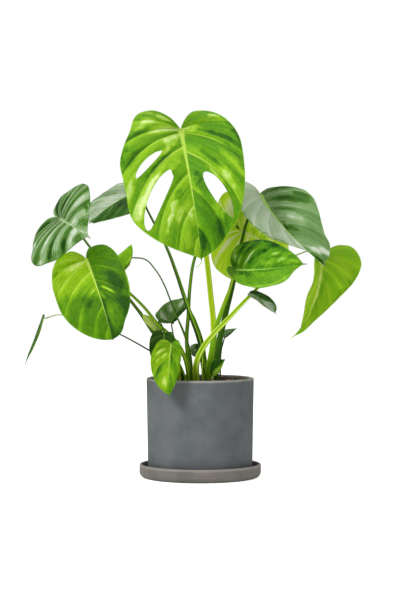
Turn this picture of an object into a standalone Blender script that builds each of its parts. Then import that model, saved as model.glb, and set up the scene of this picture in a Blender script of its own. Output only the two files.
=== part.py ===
"""A young swiss cheese plant in a round pot on a saucer.

Lengths below are in millimetres and angles in degrees. The origin is the middle
of the saucer's underside, +Z is up and -Y is the front.
"""

import math
from dataclasses import dataclass

import bpy
import numpy as np
from mathutils import Vector

MM = 0.001
GAP = 0.3
ROUND_STEPS = 48

# Saucer
SAUCER_RADIUS = 85.0
SAUCER_HEIGHT = 19.0
SAUCER_WALL = 4.0
SAUCER_FLOOR = 6.0
SAUCER_CORNER = 8.0

# Pot
POT_TOP_RADIUS = 75.0
POT_FOOT_RADIUS = 73.0
POT_TOP = 139.0
POT_WALL = 5.5
POT_FLOOR = 7.0
POT_LIP = 2.0
DRAIN_RADIUS = 7.0

# Potting mix
MIX_BELOW_RIM = 7.0
MIX_MOUND = 4.0
STALK_DEPTH = 12.0
STALK_UPRIGHT = 4.0

# Blades and stalks
BLADE_THICKNESS = 0.9
MIDRIB_THICKNESS = 1.8
BLADE_GAP = 0.35
VEIN_BOW = 0.18
MARGIN_WAVES = 2.5
SLIT_CLEAR = 0.05
STALK_BEVEL_STEPS = 2
THICK_STALK = 2.0
HOLE_SIDES = 12


@dataclass(frozen=True)
class Half:
    """One side of a blade, from the midrib to the margin.

    width is in millimetres. widest, where it is widest, and back, how far the basal
    lobe reaches behind the sinus, are shares of the blade's length. lobe is a share
    of width, crown and shoulder say how full the basal lobe and the flank are, and
    fold and cup are the angles that it rises from the midrib and curls over by.
    """

    width: float
    widest: float = 0.3
    back: float = 0.15
    lobe: float = 0.45
    crown: float = 0.6
    shoulder: float = 0.45
    fold: float = 12.0
    cup: float = 10.0


@dataclass(frozen=True)
class Slit:
    """A long opening between two veins: side -1 or 1, its vein, reach and width."""

    side: int
    vein: float
    start: float
    end: float
    width: float


@dataclass(frozen=True)
class Leaf:
    """A blade and the stalk that carries it.

    base is the sinus, tip the drip tip, and face the bearing and rise of the upper
    side: a bearing of 0 looks to the front and 90 to +X. root is where the stalk
    stands in the mix, and route holds the places that it passes.
    """

    name: str
    base: tuple
    tip: tuple
    face: tuple
    left: Half
    right: Half
    root: tuple
    route: tuple
    foot_radius: float
    top_radius: float
    colour: str
    stalk_colour: str
    bend: float = 25.0
    tip_bend: float = 10.0
    lobe_bend: float = 15.0
    wave: float = 1.5
    sway: float = 0.0
    vein_rise: float = 3.2
    drip: float = 0.07
    rows: int = 10
    columns: int = 5
    slits: tuple = ()


LEAVES = (
    Leaf(
        "fenestrated",
        base=(-27, -20, 484),
        tip=(2, -70, 301),
        face=(5, 20),
        left=Half(75, widest=0.4, back=0.14, lobe=0.42, shoulder=0.64),
        right=Half(93, widest=0.36, back=0.17, lobe=0.38, shoulder=0.78),
        root=(15, 18),
        route=((19, 16, 199), (14, 12, 261), (9, 8, 306), (-4, 0, 401), (-20, -8, 467)),
        foot_radius=4.2,
        top_radius=2.4,
        colour="6FB41E",
        stalk_colour="A9C81F",
        bend=30,
        vein_rise=4.0,
        rows=12,
        columns=10,
        slits=(
            Slit(1, vein=0.53, start=0.3, end=0.8, width=0.022),
            Slit(1, vein=0.72, start=0.2, end=0.9, width=0.032),
            Slit(-1, vein=0.72, start=0.3, end=0.9, width=0.036),
        ),
    ),
    Leaf(
        "upper_right",
        base=(85, 50, 397),
        tip=(176, -8, 293),
        face=(-5, 25),
        left=Half(56, widest=0.36, back=0.0, lobe=0.1, crown=0.5, shoulder=0.6),
        right=Half(37, widest=0.15, back=0.32, lobe=0.1),
        root=(21, 4),
        route=((25, 8, 177), (36, 18, 227), (46, 18, 268), (52, 22, 300), (60, 38, 335), (70, 60, 366)),
        foot_radius=4.4,
        top_radius=1.8,
        colour="8FB58A",
        stalk_colour="4C7A14",
        bend=50,
        sway=0.08,
    ),
    Leaf(
        "far_right",
        base=(171, 26, 307),
        tip=(129, -10, 196),
        face=(50, 20),
        left=Half(64, widest=0.0, back=0.25, lobe=0.5, shoulder=0.08, fold=20),
        right=Half(30, widest=0.3, back=0.03, lobe=0.4, fold=30),
        root=(-5, -28),
        route=((-5, -30, 162), (1, -32, 183), (16, -32, 201), (36, -28, 220), (55, -20, 241),
               (78, -10, 262), (119, 8, 300), (140, 18, 312), (157, 24, 315)),
        foot_radius=4.4,
        top_radius=0.9,
        colour="7AA617",
        stalk_colour="B7E33A",
        bend=40,
        sway=-0.04,
    ),
    Leaf(
        "glossy_right",
        base=(49, -30, 289),
        tip=(147, -60, 298),
        face=(0, 35),
        left=Half(40, widest=0.33, back=0.14, lobe=0.5, shoulder=0.5),
        right=Half(45, widest=0.48, back=0.02, lobe=0.3, shoulder=0.7),
        root=(12, -14),
        route=((16, -14, 177), (18, -12, 203), (28, -10, 231), (39, -12, 256), (45, -20, 277)),
        foot_radius=2.5,
        top_radius=1.8,
        colour="4F9A14",
        stalk_colour="9CC42B",
        bend=35,
        sway=-0.02,
    ),
    Leaf(
        "behind_middle",
        base=(60, 70, 344),
        tip=(133, 150, 306),
        face=(52, -5),
        left=Half(52, widest=0.2, back=0.3, lobe=0.5, fold=5),
        right=Half(72, widest=0.2, back=0.32, lobe=0.6, fold=3),
        root=(-14, 10),
        route=((-19, 14, 191), (-17, 16, 222), (-14, 20, 269), (-8, 24, 305), (7, 35, 343), (31, 51, 355)),
        foot_radius=3.2,
        top_radius=1.6,
        colour="8FB81C",
        stalk_colour="3F5D10",
        bend=20,
    ),
    Leaf(
        "heart_left",
        base=(-156, -50, 305),
        tip=(-117, -90, 194),
        face=(-20, 20),
        left=Half(50, widest=0.38, back=0.09, lobe=0.45, shoulder=0.6),
        right=Half(59, widest=0.4, back=0.11, lobe=0.5, shoulder=0.66),
        root=(-16, -24),
        route=((-25, -28, 176), (-39, -30, 196), (-55, -32, 211), (-78, -38, 239), (-95, -42, 256),
               (-121, -42, 281)),
        foot_radius=2.8,
        top_radius=1.7,
        colour="6DB01F",
        stalk_colour="5C8A1E",
        bend=30,
    ),
    Leaf(
        "upper_left",
        base=(-196, 10, 361),
        tip=(-148, -70, 332),
        face=(-38, 30),
        left=Half(60, widest=0.12, back=0.42, lobe=0.2, crown=0.75, shoulder=0.35),
        right=Half(68, widest=0.08, back=0.42, lobe=0.2, crown=0.8, shoulder=0.35),
        root=(-23, -8),
        route=((-47, -8, 181), (-63, -12, 199), (-83, -16, 229), (-96, -14, 246), (-132, -10, 291),
               (-153, 0, 320), (-175, 14, 345)),
        foot_radius=2.7,
        top_radius=1.6,
        colour="8FB58A",
        stalk_colour="466A12",
        bend=15,
    ),
    Leaf(
        "dark_left",
        base=(-86, 70, 403),
        tip=(-158, 40, 354),
        face=(-30, 40),
        left=Half(58, widest=0.35, back=0.15, lobe=0.5, shoulder=0.6),
        right=Half(27, widest=0.35, back=0.12, lobe=0.5),
        root=(7, 8),
        route=((0, 2, 187), (-15, -4, 231), (-22, 4, 251), (-35, 22, 289), (-48, 40, 322), (-68, 60, 360),
               (-78, 68, 380)),
        foot_radius=4.0,
        top_radius=1.5,
        colour="336D10",
        stalk_colour="3F5D10",
        bend=20,
    ),
    Leaf(
        "small_left",
        base=(-94, -32, 307),
        tip=(-121, -32, 262),
        face=(-10, 30),
        left=Half(6, back=0.05, lobe=0.3),
        right=Half(19, widest=0.2, back=0.3, lobe=0.25),
        root=(-12, -13),
        route=((-15, -12, 177), (-22, -10, 199), (-33, -8, 226), (-41, -12, 246), (-50, -16, 269),
               (-63, -22, 291), (-76, -28, 304)),
        foot_radius=1.6,
        top_radius=0.9,
        colour="8DAE22",
        stalk_colour="5C7F1E",
        bend=20,
        rows=8,
        columns=4,
    ),
    Leaf(
        "hanging_left",
        base=(-218, 0, 222),
        tip=(-246, 10, 156),
        face=(-80, 10),
        left=Half(16, widest=0.35, back=0.08, lobe=0.3),
        right=Half(16, widest=0.35, back=0.08, lobe=0.3),
        root=(-32, 2),
        route=((-50, -2, 167), (-70, -8, 177), (-90, -18, 189), (-110, -26, 200), (-152, -25, 218),
               (-195, -12, 227)),
        foot_radius=1.3,
        top_radius=0.8,
        colour="6E9438",
        stalk_colour="6E7F3A",
        bend=20,
        rows=8,
        columns=4,
    ),
    Leaf(
        "over_rim",
        base=(-39, -66, 189),
        tip=(-42, -92, 117),
        face=(-15, 20),
        left=Half(16, widest=0.28, back=0.07, lobe=0.4, shoulder=0.55),
        right=Half(26, widest=0.33, back=0.08, lobe=0.4, shoulder=0.55),
        root=(-29, -30),
        route=((-29, -42, 160), (-31, -56, 178)),
        foot_radius=1.7,
        top_radius=1.2,
        colour="7FC323",
        stalk_colour="A3D32E",
        bend=30,
        rows=8,
        columns=4,
    ),
    Leaf(
        "behind_rim_leaf",
        base=(-49, -45, 202),
        tip=(-54, -55, 156),
        face=(0, 20),
        left=Half(16, back=0.06, lobe=0.5, shoulder=0.7),
        right=Half(19, back=0.06, lobe=0.5, shoulder=0.7),
        root=(-31, -16),
        route=((-44, -20, 180), (-55, -22, 208), (-57, -30, 220.5), (-54, -38, 216)),
        foot_radius=1.4,
        top_radius=1.1,
        colour="2C6A12",
        stalk_colour="A3C42E",
        bend=20,
        rows=8,
        columns=4,
    ),
    Leaf(
        "between_stalks",
        base=(-56, -27, 206),
        tip=(-81, -32, 229),
        face=(0, 30),
        left=Half(7, widest=0.5, back=0.03, lobe=0.5, shoulder=0.6),
        right=Half(5, widest=0.5, back=0.03, lobe=0.5, shoulder=0.6),
        root=(-20, -36),
        route=((-38, -32, 178),),
        foot_radius=1.3,
        top_radius=0.9,
        colour="B4CC5A",
        stalk_colour="8FB02E",
        bend=10,
        wave=0.4,
        rows=7,
        columns=3,
    ),
    Leaf(
        "low_middle",
        base=(-41, 35, 214),
        tip=(-20, 60, 247),
        face=(0, 30),
        left=Half(27, widest=0.25, back=0.12, lobe=0.5, shoulder=0.7),
        right=Half(8, widest=0.4, back=0.02, lobe=0.5, shoulder=0.7),
        root=(-33, 12),
        route=((-37, 20, 191),),
        foot_radius=1.3,
        top_radius=0.9,
        colour="3C6E25",
        stalk_colour="3F5D10",
        bend=20,
        rows=8,
        columns=4,
    ),
    Leaf(
        "beak_right",
        base=(68, -20, 257),
        tip=(105, -32, 228),
        face=(20, 40),
        left=Half(11, widest=0.55, back=0.02, lobe=0.3, shoulder=0.7),
        right=Half(8, widest=0.5, back=0.02, lobe=0.3, shoulder=0.6),
        root=(3, -37),
        route=((3, -39, 160), (10, -41, 180), (22, -41, 195), (42, -37, 214), (59, -29, 235)),
        foot_radius=1.3,
        top_radius=0.8,
        colour="2F5A18",
        stalk_colour="8FB02E",
        bend=50,
        wave=0.5,
        rows=8,
        columns=3,
    ),
    Leaf(
        "back_right",
        base=(34, 40, 193),
        tip=(52, 50, 206),
        face=(0, 50),
        left=Half(9, widest=0.5, back=0.02, lobe=0.3),
        right=Half(8, widest=0.5, back=0.02, lobe=0.3),
        root=(28, 18),
        route=((30, 32, 176),),
        foot_radius=1.3,
        top_radius=0.9,
        colour="6E8F3C",
        stalk_colour="4C7A14",
        bend=10,
        wave=0.4,
        rows=6,
        columns=3,
    ),
    Leaf(
        "mix_right",
        base=(18, -26, 144),
        tip=(35, -22, 167),
        face=(30, 30),
        left=Half(9, widest=0.6, back=0.02, lobe=0.3),
        right=Half(6, widest=0.5, back=0.02, lobe=0.3),
        root=(17, -25),
        route=(),
        foot_radius=1.3,
        top_radius=1.1,
        colour="2E5A1A",
        stalk_colour="6E8F3C",
        bend=10,
        wave=0.4,
        rows=6,
        columns=3,
    ),
    Leaf(
        "mix_back",
        base=(-6, 28, 167),
        tip=(-6, 36, 186),
        face=(0, 20),
        left=Half(8, widest=0.7, back=0.02, lobe=0.3),
        right=Half(8, widest=0.7, back=0.02, lobe=0.3),
        root=(-6, 27),
        route=(),
        foot_radius=1.3,
        top_radius=1.0,
        colour="4A4A22",
        stalk_colour="4A4A22",
        bend=10,
        wave=0.4,
        rows=6,
        columns=3,
    ),
)


def clear_scene():
    for obj in list(bpy.data.objects):
        bpy.data.objects.remove(obj, do_unlink=True)


def linear(colour):
    """RGBA in linear light of a six-digit sRGB colour."""
    parts = [int(colour[i : i + 2], 16) / 255 for i in (0, 2, 4)]
    return [p / 12.92 if p <= 0.04045 else ((p + 0.055) / 1.055) ** 2.4 for p in parts] + [1.0]


def finish(obj, colour, roughness):
    """Gives the object its own material and smooth shading."""
    material = bpy.data.materials.new(obj.name)
    material.use_nodes = True
    shader = material.node_tree.nodes["Principled BSDF"]
    shader.inputs["Base Color"].default_value = linear(colour)
    shader.inputs["Roughness"].default_value = roughness
    shader.inputs["Metallic"].default_value = 0.0
    obj.data.materials.append(material)
    if obj.type == "MESH":
        obj.data.shade_smooth()


def mesh_object(name, points, faces):
    """A mesh object from points in millimetres."""
    mesh = bpy.data.meshes.new(name)
    mesh.from_pydata((np.asarray(points) * MM).tolist(), [], faces)
    obj = bpy.data.objects.new(name, mesh)
    bpy.context.collection.objects.link(obj)
    return obj


def arc(centre, radius, start, end, steps):
    """Points (r, z) along an arc from one angle to another."""
    angles = np.radians(np.linspace(start, end, steps + 1))
    return [(centre[0] + radius * math.cos(a), centre[1] + radius * math.sin(a)) for a in angles]


def turned(name, profile, closed):
    """A solid of revolution from a profile (r, z) that runs down its outer side first."""
    edges = [(i, i + 1) for i in range(len(profile) - 1)]
    if closed:
        edges.append((len(profile) - 1, 0))
    mesh = bpy.data.meshes.new(name)
    mesh.from_pydata([(r * MM, 0, z * MM) for r, z in profile], edges, [])
    obj = bpy.data.objects.new(name, mesh)
    bpy.context.collection.objects.link(obj)
    screw = obj.modifiers.new("Turn", "SCREW")
    screw.steps = ROUND_STEPS
    screw.render_steps = ROUND_STEPS
    screw.use_merge_vertices = True
    screw.merge_threshold = 0.0001
    screw.use_smooth_shade = True
    return obj


def build_saucer():
    """A shallow dish with a flat underside, a rounded corner and a rounded rim."""
    lip = SAUCER_WALL / 2
    inner = SAUCER_RADIUS - SAUCER_WALL
    profile = arc((SAUCER_RADIUS - lip, SAUCER_HEIGHT - lip), lip, 90, 0, 3)
    profile += arc((SAUCER_RADIUS - SAUCER_CORNER, SAUCER_CORNER), SAUCER_CORNER, 0, -90, 5)
    profile += [(0, 0), (0, SAUCER_FLOOR)]
    corner = SAUCER_CORNER - SAUCER_WALL
    profile += arc((inner - corner, SAUCER_FLOOR + corner), corner, -90, 0, 3)
    profile += arc((inner + lip, SAUCER_HEIGHT - lip), lip, 180, 90, 3)[:-1]
    saucer = turned("saucer", profile, closed=True)
    finish(saucer, "77726A", 0.55)


def pot_radius(z):
    """The pot's outer radius at a height."""
    foot = SAUCER_FLOOR + GAP
    share = (z - foot) / (POT_TOP - foot)
    return POT_FOOT_RADIUS + share * (POT_TOP_RADIUS - POT_FOOT_RADIUS)


def build_pot():
    """A nearly straight pot with a drain hole in its floor."""
    foot = SAUCER_FLOOR + GAP
    floor = foot + POT_FLOOR
    inner_top = POT_TOP_RADIUS - POT_WALL
    profile = [(inner_top + POT_LIP, POT_TOP)]
    profile += arc((POT_TOP_RADIUS - POT_LIP, POT_TOP - POT_LIP), POT_LIP, 90, 0, 3)
    profile += arc((POT_FOOT_RADIUS - POT_LIP, foot + POT_LIP), POT_LIP, 0, -90, 2)
    profile += [(DRAIN_RADIUS, foot), (DRAIN_RADIUS, floor)]
    profile += [(pot_radius(floor) - POT_WALL - POT_LIP, floor)]
    profile += [(pot_radius(floor) - POT_WALL, floor + POT_LIP)]
    profile += [(inner_top, POT_TOP - POT_LIP)]
    pot = turned("pot", profile, closed=True)
    finish(pot, "5F6466", 0.7)


def mix_height(radius):
    """The height of the mix, a low mound."""
    edge = POT_TOP - MIX_BELOW_RIM
    reach = POT_TOP_RADIUS - POT_WALL
    return edge + MIX_MOUND * 0.5 * (1 + math.cos(math.pi * min(radius / reach, 1)))


def build_mix():
    """The potting mix: it fills the pot and has a plain hole for each stalk."""
    bottom = SAUCER_FLOOR + GAP + POT_FLOOR + GAP
    floor_radius = pot_radius(bottom) - POT_WALL - POT_LIP - GAP
    top_radius = pot_radius(mix_height(POT_TOP_RADIUS)) - POT_WALL - GAP
    rings = np.linspace(top_radius, 0, 6)
    profile = [(r, mix_height(r)) for r in rings][::-1]
    profile += [(pot_radius(bottom + POT_LIP) - POT_WALL - GAP, bottom + POT_LIP), (floor_radius, bottom)]
    profile += [(0, bottom)]
    mix = turned("potting_mix", profile, closed=False)
    finish(mix, "2E2118", 0.95)
    for leaf in LEAVES:
        cut_hole(mix, leaf)


def cut_hole(mix, leaf):
    """Cuts the plain round hole that a stalk stands in."""
    radius = leaf.foot_radius + GAP
    top = POT_TOP + 2
    bottom = foot_height(leaf) - GAP
    bpy.ops.mesh.primitive_cylinder_add(
        vertices=HOLE_SIDES,
        radius=radius * MM / math.cos(math.pi / HOLE_SIDES),
        depth=(top - bottom) * MM,
        location=(leaf.root[0] * MM, leaf.root[1] * MM, (top + bottom) / 2 * MM),
    )
    cutter = bpy.context.object
    cutter.name = f"hole_{leaf.name}"
    cutter.hide_render = True
    cutter.display_type = "WIRE"
    cut = mix.modifiers.new(f"Hole {leaf.name}", "BOOLEAN")
    cut.operation = "DIFFERENCE"
    cut.object = cutter


def foot_height(leaf):
    """The height of a stalk's lower end, inside the mix."""
    return mix_height(math.hypot(*leaf.root)) - STALK_DEPTH


def bezier(points, t):
    """Points of a Bezier curve at the shares t."""
    points = [np.asarray(p, float)[None, :] for p in points]
    t = np.asarray(t)[:, None]
    while len(points) > 1:
        points = [a * (1 - t) + b * t for a, b in zip(points, points[1:])]
    return points[0]


def margin_line(half, length, drip):
    """The margin of a half blade in shares of its length, and its share of run."""
    w = half.width / length
    back = half.back
    wide = half.widest
    inner = half.lobe * w
    lobe = bezier(
        [
            (inner, -back),
            (inner + half.crown * (w - inner), -back),
            (w, wide - half.crown * (wide + back)),
            (w, wide),
        ],
        np.linspace(0, 1, 50),
    )
    neck = (drip * 0.22, 1 - drip)
    reach = neck[1] - wide
    full = half.shoulder
    flank = bezier(
        [(w, wide), (w, wide + full * reach), (0.8 * full * w, neck[1] - 0.25 * (1 - full) * reach), neck],
        np.linspace(0, 1, 80),
    )
    point = bezier([neck, (neck[0] * 0.35, 1 - drip * 0.7), (0.0, 1.0)], np.linspace(0, 1, 20))
    line = np.concatenate([lobe, flank[1:], point[1:]])
    steps = np.linalg.norm(np.diff(line, axis=0), axis=1)
    run = np.concatenate([[0], np.cumsum(steps)])
    return line, run / run[-1]


def flat_points(leaf, half, length, u, v):
    """Points of a half blade laid flat: u runs from midrib to margin, v from lobe to tip."""
    line, run = margin_line(half, length, leaf.drip)
    edge = np.stack([np.interp(v, run, line[:, 0]), np.interp(v, run, line[:, 1])], -1) * length
    root = np.stack([np.zeros_like(v), length * v**leaf.vein_rise], -1)
    chord = edge - root
    bow = root + 0.5 * chord + VEIN_BOW * np.stack([chord[..., 1], -chord[..., 0]], -1)
    t = u[..., None]
    return (1 - t) ** 2 * root + 2 * t * (1 - t) * bow + t**2 * edge


def spine(leaf):
    """Places, slopes and side view of the midrib of a blade of length 1."""
    back = max(leaf.left.back, leaf.right.back, 0.05) * 1.4
    behind = 29
    s = np.concatenate([np.linspace(-back, 0, behind + 1)[:-1], np.linspace(0, 1, 120)])
    bend = math.radians(leaf.bend)
    tip = math.radians(leaf.tip_bend)
    lobe = math.radians(leaf.lobe_bend)
    ahead = -bend * np.clip(s, 0, 1) - tip * np.clip((s - 0.7) / 0.3, 0, 1) ** 2
    slope = np.where(s >= 0, ahead, lobe * (-s / back))
    middle = (slope[1:] + slope[:-1]) / 2
    y = np.concatenate([[0], np.cumsum(np.diff(s) * np.cos(middle))])
    z = np.concatenate([[0], np.cumsum(np.diff(s) * np.sin(middle))])
    return s, slope, y - y[behind], z - z[behind]


def blade_axes(leaf):
    """The blade's length and its world axes: across, along and out of the upper face."""
    s, slope, y, z = spine(leaf)
    chord = np.asarray(leaf.tip, float) - np.asarray(leaf.base, float)
    length = np.linalg.norm(chord) / math.hypot(y[-1], z[-1])
    chord /= np.linalg.norm(chord)
    bearing, rise = (math.radians(a) for a in leaf.face)
    out = np.array([math.sin(bearing) * math.cos(rise), -math.cos(bearing) * math.cos(rise), math.sin(rise)])
    out -= out.dot(chord) * chord
    out /= np.linalg.norm(out)
    dip = math.atan2(z[-1], y[-1])
    along = chord * math.cos(dip) - out * math.sin(dip)
    normal = out * math.cos(dip) + chord * math.sin(dip)
    return length, np.cross(along, normal), along, normal


def blade_points(leaf, side, u, v):
    """World points of the middle surface of one half, in millimetres."""
    half = leaf.left if side < 0 else leaf.right
    length, across, along, normal = blade_axes(leaf)
    s, slope, run, drop = spine(leaf)
    flat = flat_points(leaf, half, length, u, v)
    share = flat[..., 0] / half.width
    place = flat[..., 1] / length
    fold = math.radians(half.fold)
    cup = math.radians(half.cup)
    x = side * half.width / cup * (math.sin(fold) - np.sin(fold - cup * share))
    lift = half.width / cup * (np.cos(fold - cup * share) - math.cos(fold))
    lift = lift + leaf.wave * np.sin(2 * math.pi * MARGIN_WAVES * v + 0.7 + side) * share**2
    inside = np.clip(place, 0, 1)
    x = x + leaf.sway * length * 4 * inside * (1 - inside)
    tilt = np.interp(place, s, slope)
    y = np.interp(place, s, run) * length - lift * np.sin(tilt)
    z = np.interp(place, s, drop) * length + lift * np.cos(tilt)
    return np.asarray(leaf.base) + x[..., None] * across + y[..., None] * along + z[..., None] * normal


def slit_width(slit, u):
    """Half the opening's width at u, pointed at the midrib end and round at the other."""
    share = (u - slit.start) / (slit.end - slit.start)
    return slit.width * math.sin(math.pi * share**0.8) ** 0.8 if 0 < share < 1 else 0.0


def row_places(leaf):
    """The rows of the blade's grid, with one along each slit and a clear one either side."""
    veins = sorted({slit.vein for slit in leaf.slits})
    even = [v for v in np.linspace(0, 1, leaf.rows + 1) if all(abs(v - c) > SLIT_CLEAR * 1.6 for c in veins)]
    return sorted(even + [c + d for c in veins for d in (-SLIT_CLEAR, 0, SLIT_CLEAR)])


def build_blade(leaf):
    """The blade: a grid of vein rows on each half, opened at its slits and thickened."""
    rows = row_places(leaf)
    columns = np.linspace(0, 1, leaf.columns + 1)
    points = []
    faces = []
    midrib = []
    for v in rows:
        midrib.append(len(points))
        points.append(blade_points(leaf, 1, np.array(0.0), np.array(v)))
    for side in (-1, 1):
        above = []
        below = []
        for index, v in enumerate(rows[:-1]):
            slit = next((s for s in leaf.slits if s.side == side and s.vein == v), None)
            upper = [midrib[index]]
            lower = [midrib[index]]
            for u in columns[1:]:
                spread = slit_width(slit, u) if slit else 0.0
                upper.append(len(points))
                points.append(blade_points(leaf, side, np.array(u), np.array(v - spread)))
                if spread > 0:
                    lower.append(len(points))
                    points.append(blade_points(leaf, side, np.array(u), np.array(v + spread)))
                else:
                    lower.append(upper[-1])
            above.append(upper)
            below.append(lower)
        tip = [midrib[-1]] * len(columns)
        above.append(tip)
        for first, second in zip(below, above[1:]):
            for i in range(leaf.columns):
                quad = (first[i], first[i + 1], second[i + 1], second[i])
                for triangle in ((quad[0], quad[1], quad[2]), (quad[0], quad[2], quad[3])):
                    if len(set(triangle)) == 3:
                        faces.append(triangle if side > 0 else triangle[::-1])
    blade = mesh_object(f"blade_{leaf.name}", points, faces)
    thicken(blade, midrib)
    finish(blade, leaf.colour, 0.4)


def thicken(blade, midrib):
    """Gives a blade its thickness, more along the midrib than at the margin."""
    group = blade.vertex_groups.new(name="midrib")
    for place, index in enumerate(midrib):
        group.add([index], 1 - place / len(midrib), "REPLACE")
    solid = blade.modifiers.new("Thickness", "SOLIDIFY")
    solid.thickness = MIDRIB_THICKNESS * MM
    solid.offset = 0.0
    solid.vertex_group = group.name
    solid.thickness_vertex_group = BLADE_THICKNESS / MIDRIB_THICKNESS


def stalk_end(leaf, previous):
    """Where the stalk stops, just under the blade's base."""
    normal = blade_axes(leaf)[3]
    base = np.asarray(leaf.base, float)
    heading = base - np.asarray(previous, float)
    heading /= np.linalg.norm(heading)
    slant = math.sqrt(max(0.0, 1 - float(heading.dot(normal)) ** 2))
    return base - normal * (MIDRIB_THICKNESS / 2 + BLADE_GAP + leaf.top_radius * slant)


def build_stalk(leaf):
    """The stalk: a tapered tube from its hole in the mix to the blade's base."""
    root = leaf.root
    surface = mix_height(math.hypot(*root))
    path = [(root[0], root[1], foot_height(leaf)), (root[0], root[1], surface + STALK_UPRIGHT)]
    path += list(leaf.route)
    path.append(tuple(stalk_end(leaf, path[-1])))
    curve = bpy.data.curves.new(f"stalk_{leaf.name}", "CURVE")
    curve.dimensions = "3D"
    curve.bevel_depth = MM
    curve.bevel_resolution = STALK_BEVEL_STEPS if leaf.foot_radius > THICK_STALK else STALK_BEVEL_STEPS - 1
    curve.use_fill_caps = True
    curve.resolution_u = 3
    spline = curve.splines.new("BEZIER")
    spline.bezier_points.add(len(path) - 1)
    run = np.concatenate([[0], np.cumsum([math.dist(a, b) for a, b in zip(path, path[1:])])])
    for point, place, share in zip(spline.bezier_points, path, run / run[-1]):
        point.co = Vector(place) * MM
        point.handle_left_type = "AUTO"
        point.handle_right_type = "AUTO"
        point.radius = leaf.foot_radius + (leaf.top_radius - leaf.foot_radius) * min(1.0, share * 1.15)
    upright = spline.bezier_points[1]
    upright.radius = leaf.foot_radius
    upright.handle_left_type = "VECTOR"
    stalk = bpy.data.objects.new(f"stalk_{leaf.name}", curve)
    bpy.context.collection.objects.link(stalk)
    finish(stalk, leaf.stalk_colour, 0.45)


def main():
    clear_scene()
    build_saucer()
    build_pot()
    build_mix()
    for leaf in LEAVES:
        build_blade(leaf)
        build_stalk(leaf)


main()
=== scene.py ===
"""A young swiss cheese plant in a stoneware pot on its saucer, as a dressed model.

Sizes in the classes are millimetres and angles are degrees. The origin is the
middle of the saucer's underside, +Z is up and -Y is the front.
"""

import logging
import math
import random
from dataclasses import dataclass, field
from enum import Enum
from functools import partial
from typing import Any, Callable

import bpy
import numpy as np
from bpy.types import Material, Mesh, Node, NodeSocket, NodeTree, Object
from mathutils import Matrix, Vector, noise


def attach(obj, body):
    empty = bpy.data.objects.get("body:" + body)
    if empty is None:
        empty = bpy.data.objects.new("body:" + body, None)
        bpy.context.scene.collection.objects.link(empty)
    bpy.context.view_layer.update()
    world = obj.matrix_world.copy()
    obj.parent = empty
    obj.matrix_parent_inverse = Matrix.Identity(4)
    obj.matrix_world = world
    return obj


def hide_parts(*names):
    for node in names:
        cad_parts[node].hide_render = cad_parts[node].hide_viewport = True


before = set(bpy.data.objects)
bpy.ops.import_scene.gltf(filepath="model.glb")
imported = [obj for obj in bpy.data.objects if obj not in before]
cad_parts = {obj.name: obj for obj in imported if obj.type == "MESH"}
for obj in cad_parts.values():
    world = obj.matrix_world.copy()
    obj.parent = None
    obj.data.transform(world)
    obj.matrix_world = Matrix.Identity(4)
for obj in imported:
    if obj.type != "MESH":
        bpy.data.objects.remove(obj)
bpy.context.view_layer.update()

LOG = logging.getLogger("plant")
# What adds a node to one material.
Adder = Callable[..., Node]
MM = 0.001
# What makes a Map Range node a soft step.
SOFT = {"interpolation_type": "SMOOTHSTEP"}

# The leaf skin's own patterns, from the leaf's real sizes.
NET_MM = 3.2
GRAIN_MM = 0.9
MARGIN_WAVES = 2.5
VEIN_BOW = 0.18
# The sheath's section, in radians round the stalk: where its wings stand, and how
# wide they and the groove are. WING_TURN is where they stand in turns.
WING_AT = 0.85
WING_SPREAD = 0.3
GROOVE_SPREAD = 0.5
WING_TURN = 0.135
# Columns of faces lie closer together toward the midrib.
CROWDING = 1.45

# Pot, saucer and mix, as the solids have them.
SAUCER_FLOOR = 6.0
SEAT_GAP = 0.3
POT_TOP = 139.0
POT_RADIUS = 75.0
POT_WALL = 5.5
POT_FLOOR = 7.0
MIX_DROP = 7.0
MIX_MOUND = 4.0
STALK_DEPTH = 12.0
STALK_UPRIGHT = 4.0


def linear(colour: str) -> tuple[float, float, float, float]:
    """Turns a six-digit sRGB colour into linear light.

    Args:
        colour: the colour as RRGGBB.

    Returns:
        Red, green, blue and an alpha of 1.
    """
    parts = [int(colour[i : i + 2], 16) / 255 for i in (0, 2, 4)]
    red, green, blue = (p / 12.92 if p <= 0.04045 else ((p + 0.055) / 1.055) ** 2.4 for p in parts)
    return red, green, blue, 1.0


def plug(node: Node, inputs: Any) -> Node:
    """Sets or links a node's inputs.

    Args:
        node: the node.
        inputs: values, nodes or output sockets, in order or by name or number.

    Returns:
        The node.
    """
    for key, value in inputs.items() if isinstance(inputs, dict) else enumerate(inputs):
        if isinstance(value, Node):
            value = value.outputs[0]
        if isinstance(value, NodeSocket):
            node.id_data.links.new(value, node.inputs[key])
        else:
            node.inputs[key].default_value = value
    return node


def add_node(tree: NodeTree, kind: str, inputs: Any = (), **settings: Any) -> Node:
    """Adds one shader node with its settings, values and links.

    Args:
        tree: the node tree that gets it.
        kind: the node's type without its ShaderNode prefix.
        inputs: what its inputs get, as for plug.
        settings: the node's own attributes.

    Returns:
        The new node.
    """
    node = tree.nodes.new("ShaderNode" + kind)
    for name, value in settings.items():
        setattr(node, name, value)
    return plug(node, inputs)


def fresh_material(name: str) -> tuple[Material, Adder, Node]:
    """Starts a node material.

    Args:
        name: the material's name.

    Returns:
        The material, what adds a node to it, and its Principled shader.
    """
    material = bpy.data.materials.new(name)
    material.use_nodes = True
    tree = material.node_tree
    return material, partial(add_node, tree), tree.nodes["Principled BSDF"]


def set_stops(ramp: Node, stops: list[tuple[float, str]]) -> None:
    """Fills a colour ramp.

    Args:
        ramp: the ramp node.
        stops: each place from 0 to 1 and its sRGB colour.
    """
    elements = ramp.color_ramp.elements
    while len(elements) < len(stops):
        elements.new(0.5)
    for element, (place, colour) in zip(elements, stops):
        element.position = place
        element.color = linear(colour)


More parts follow.
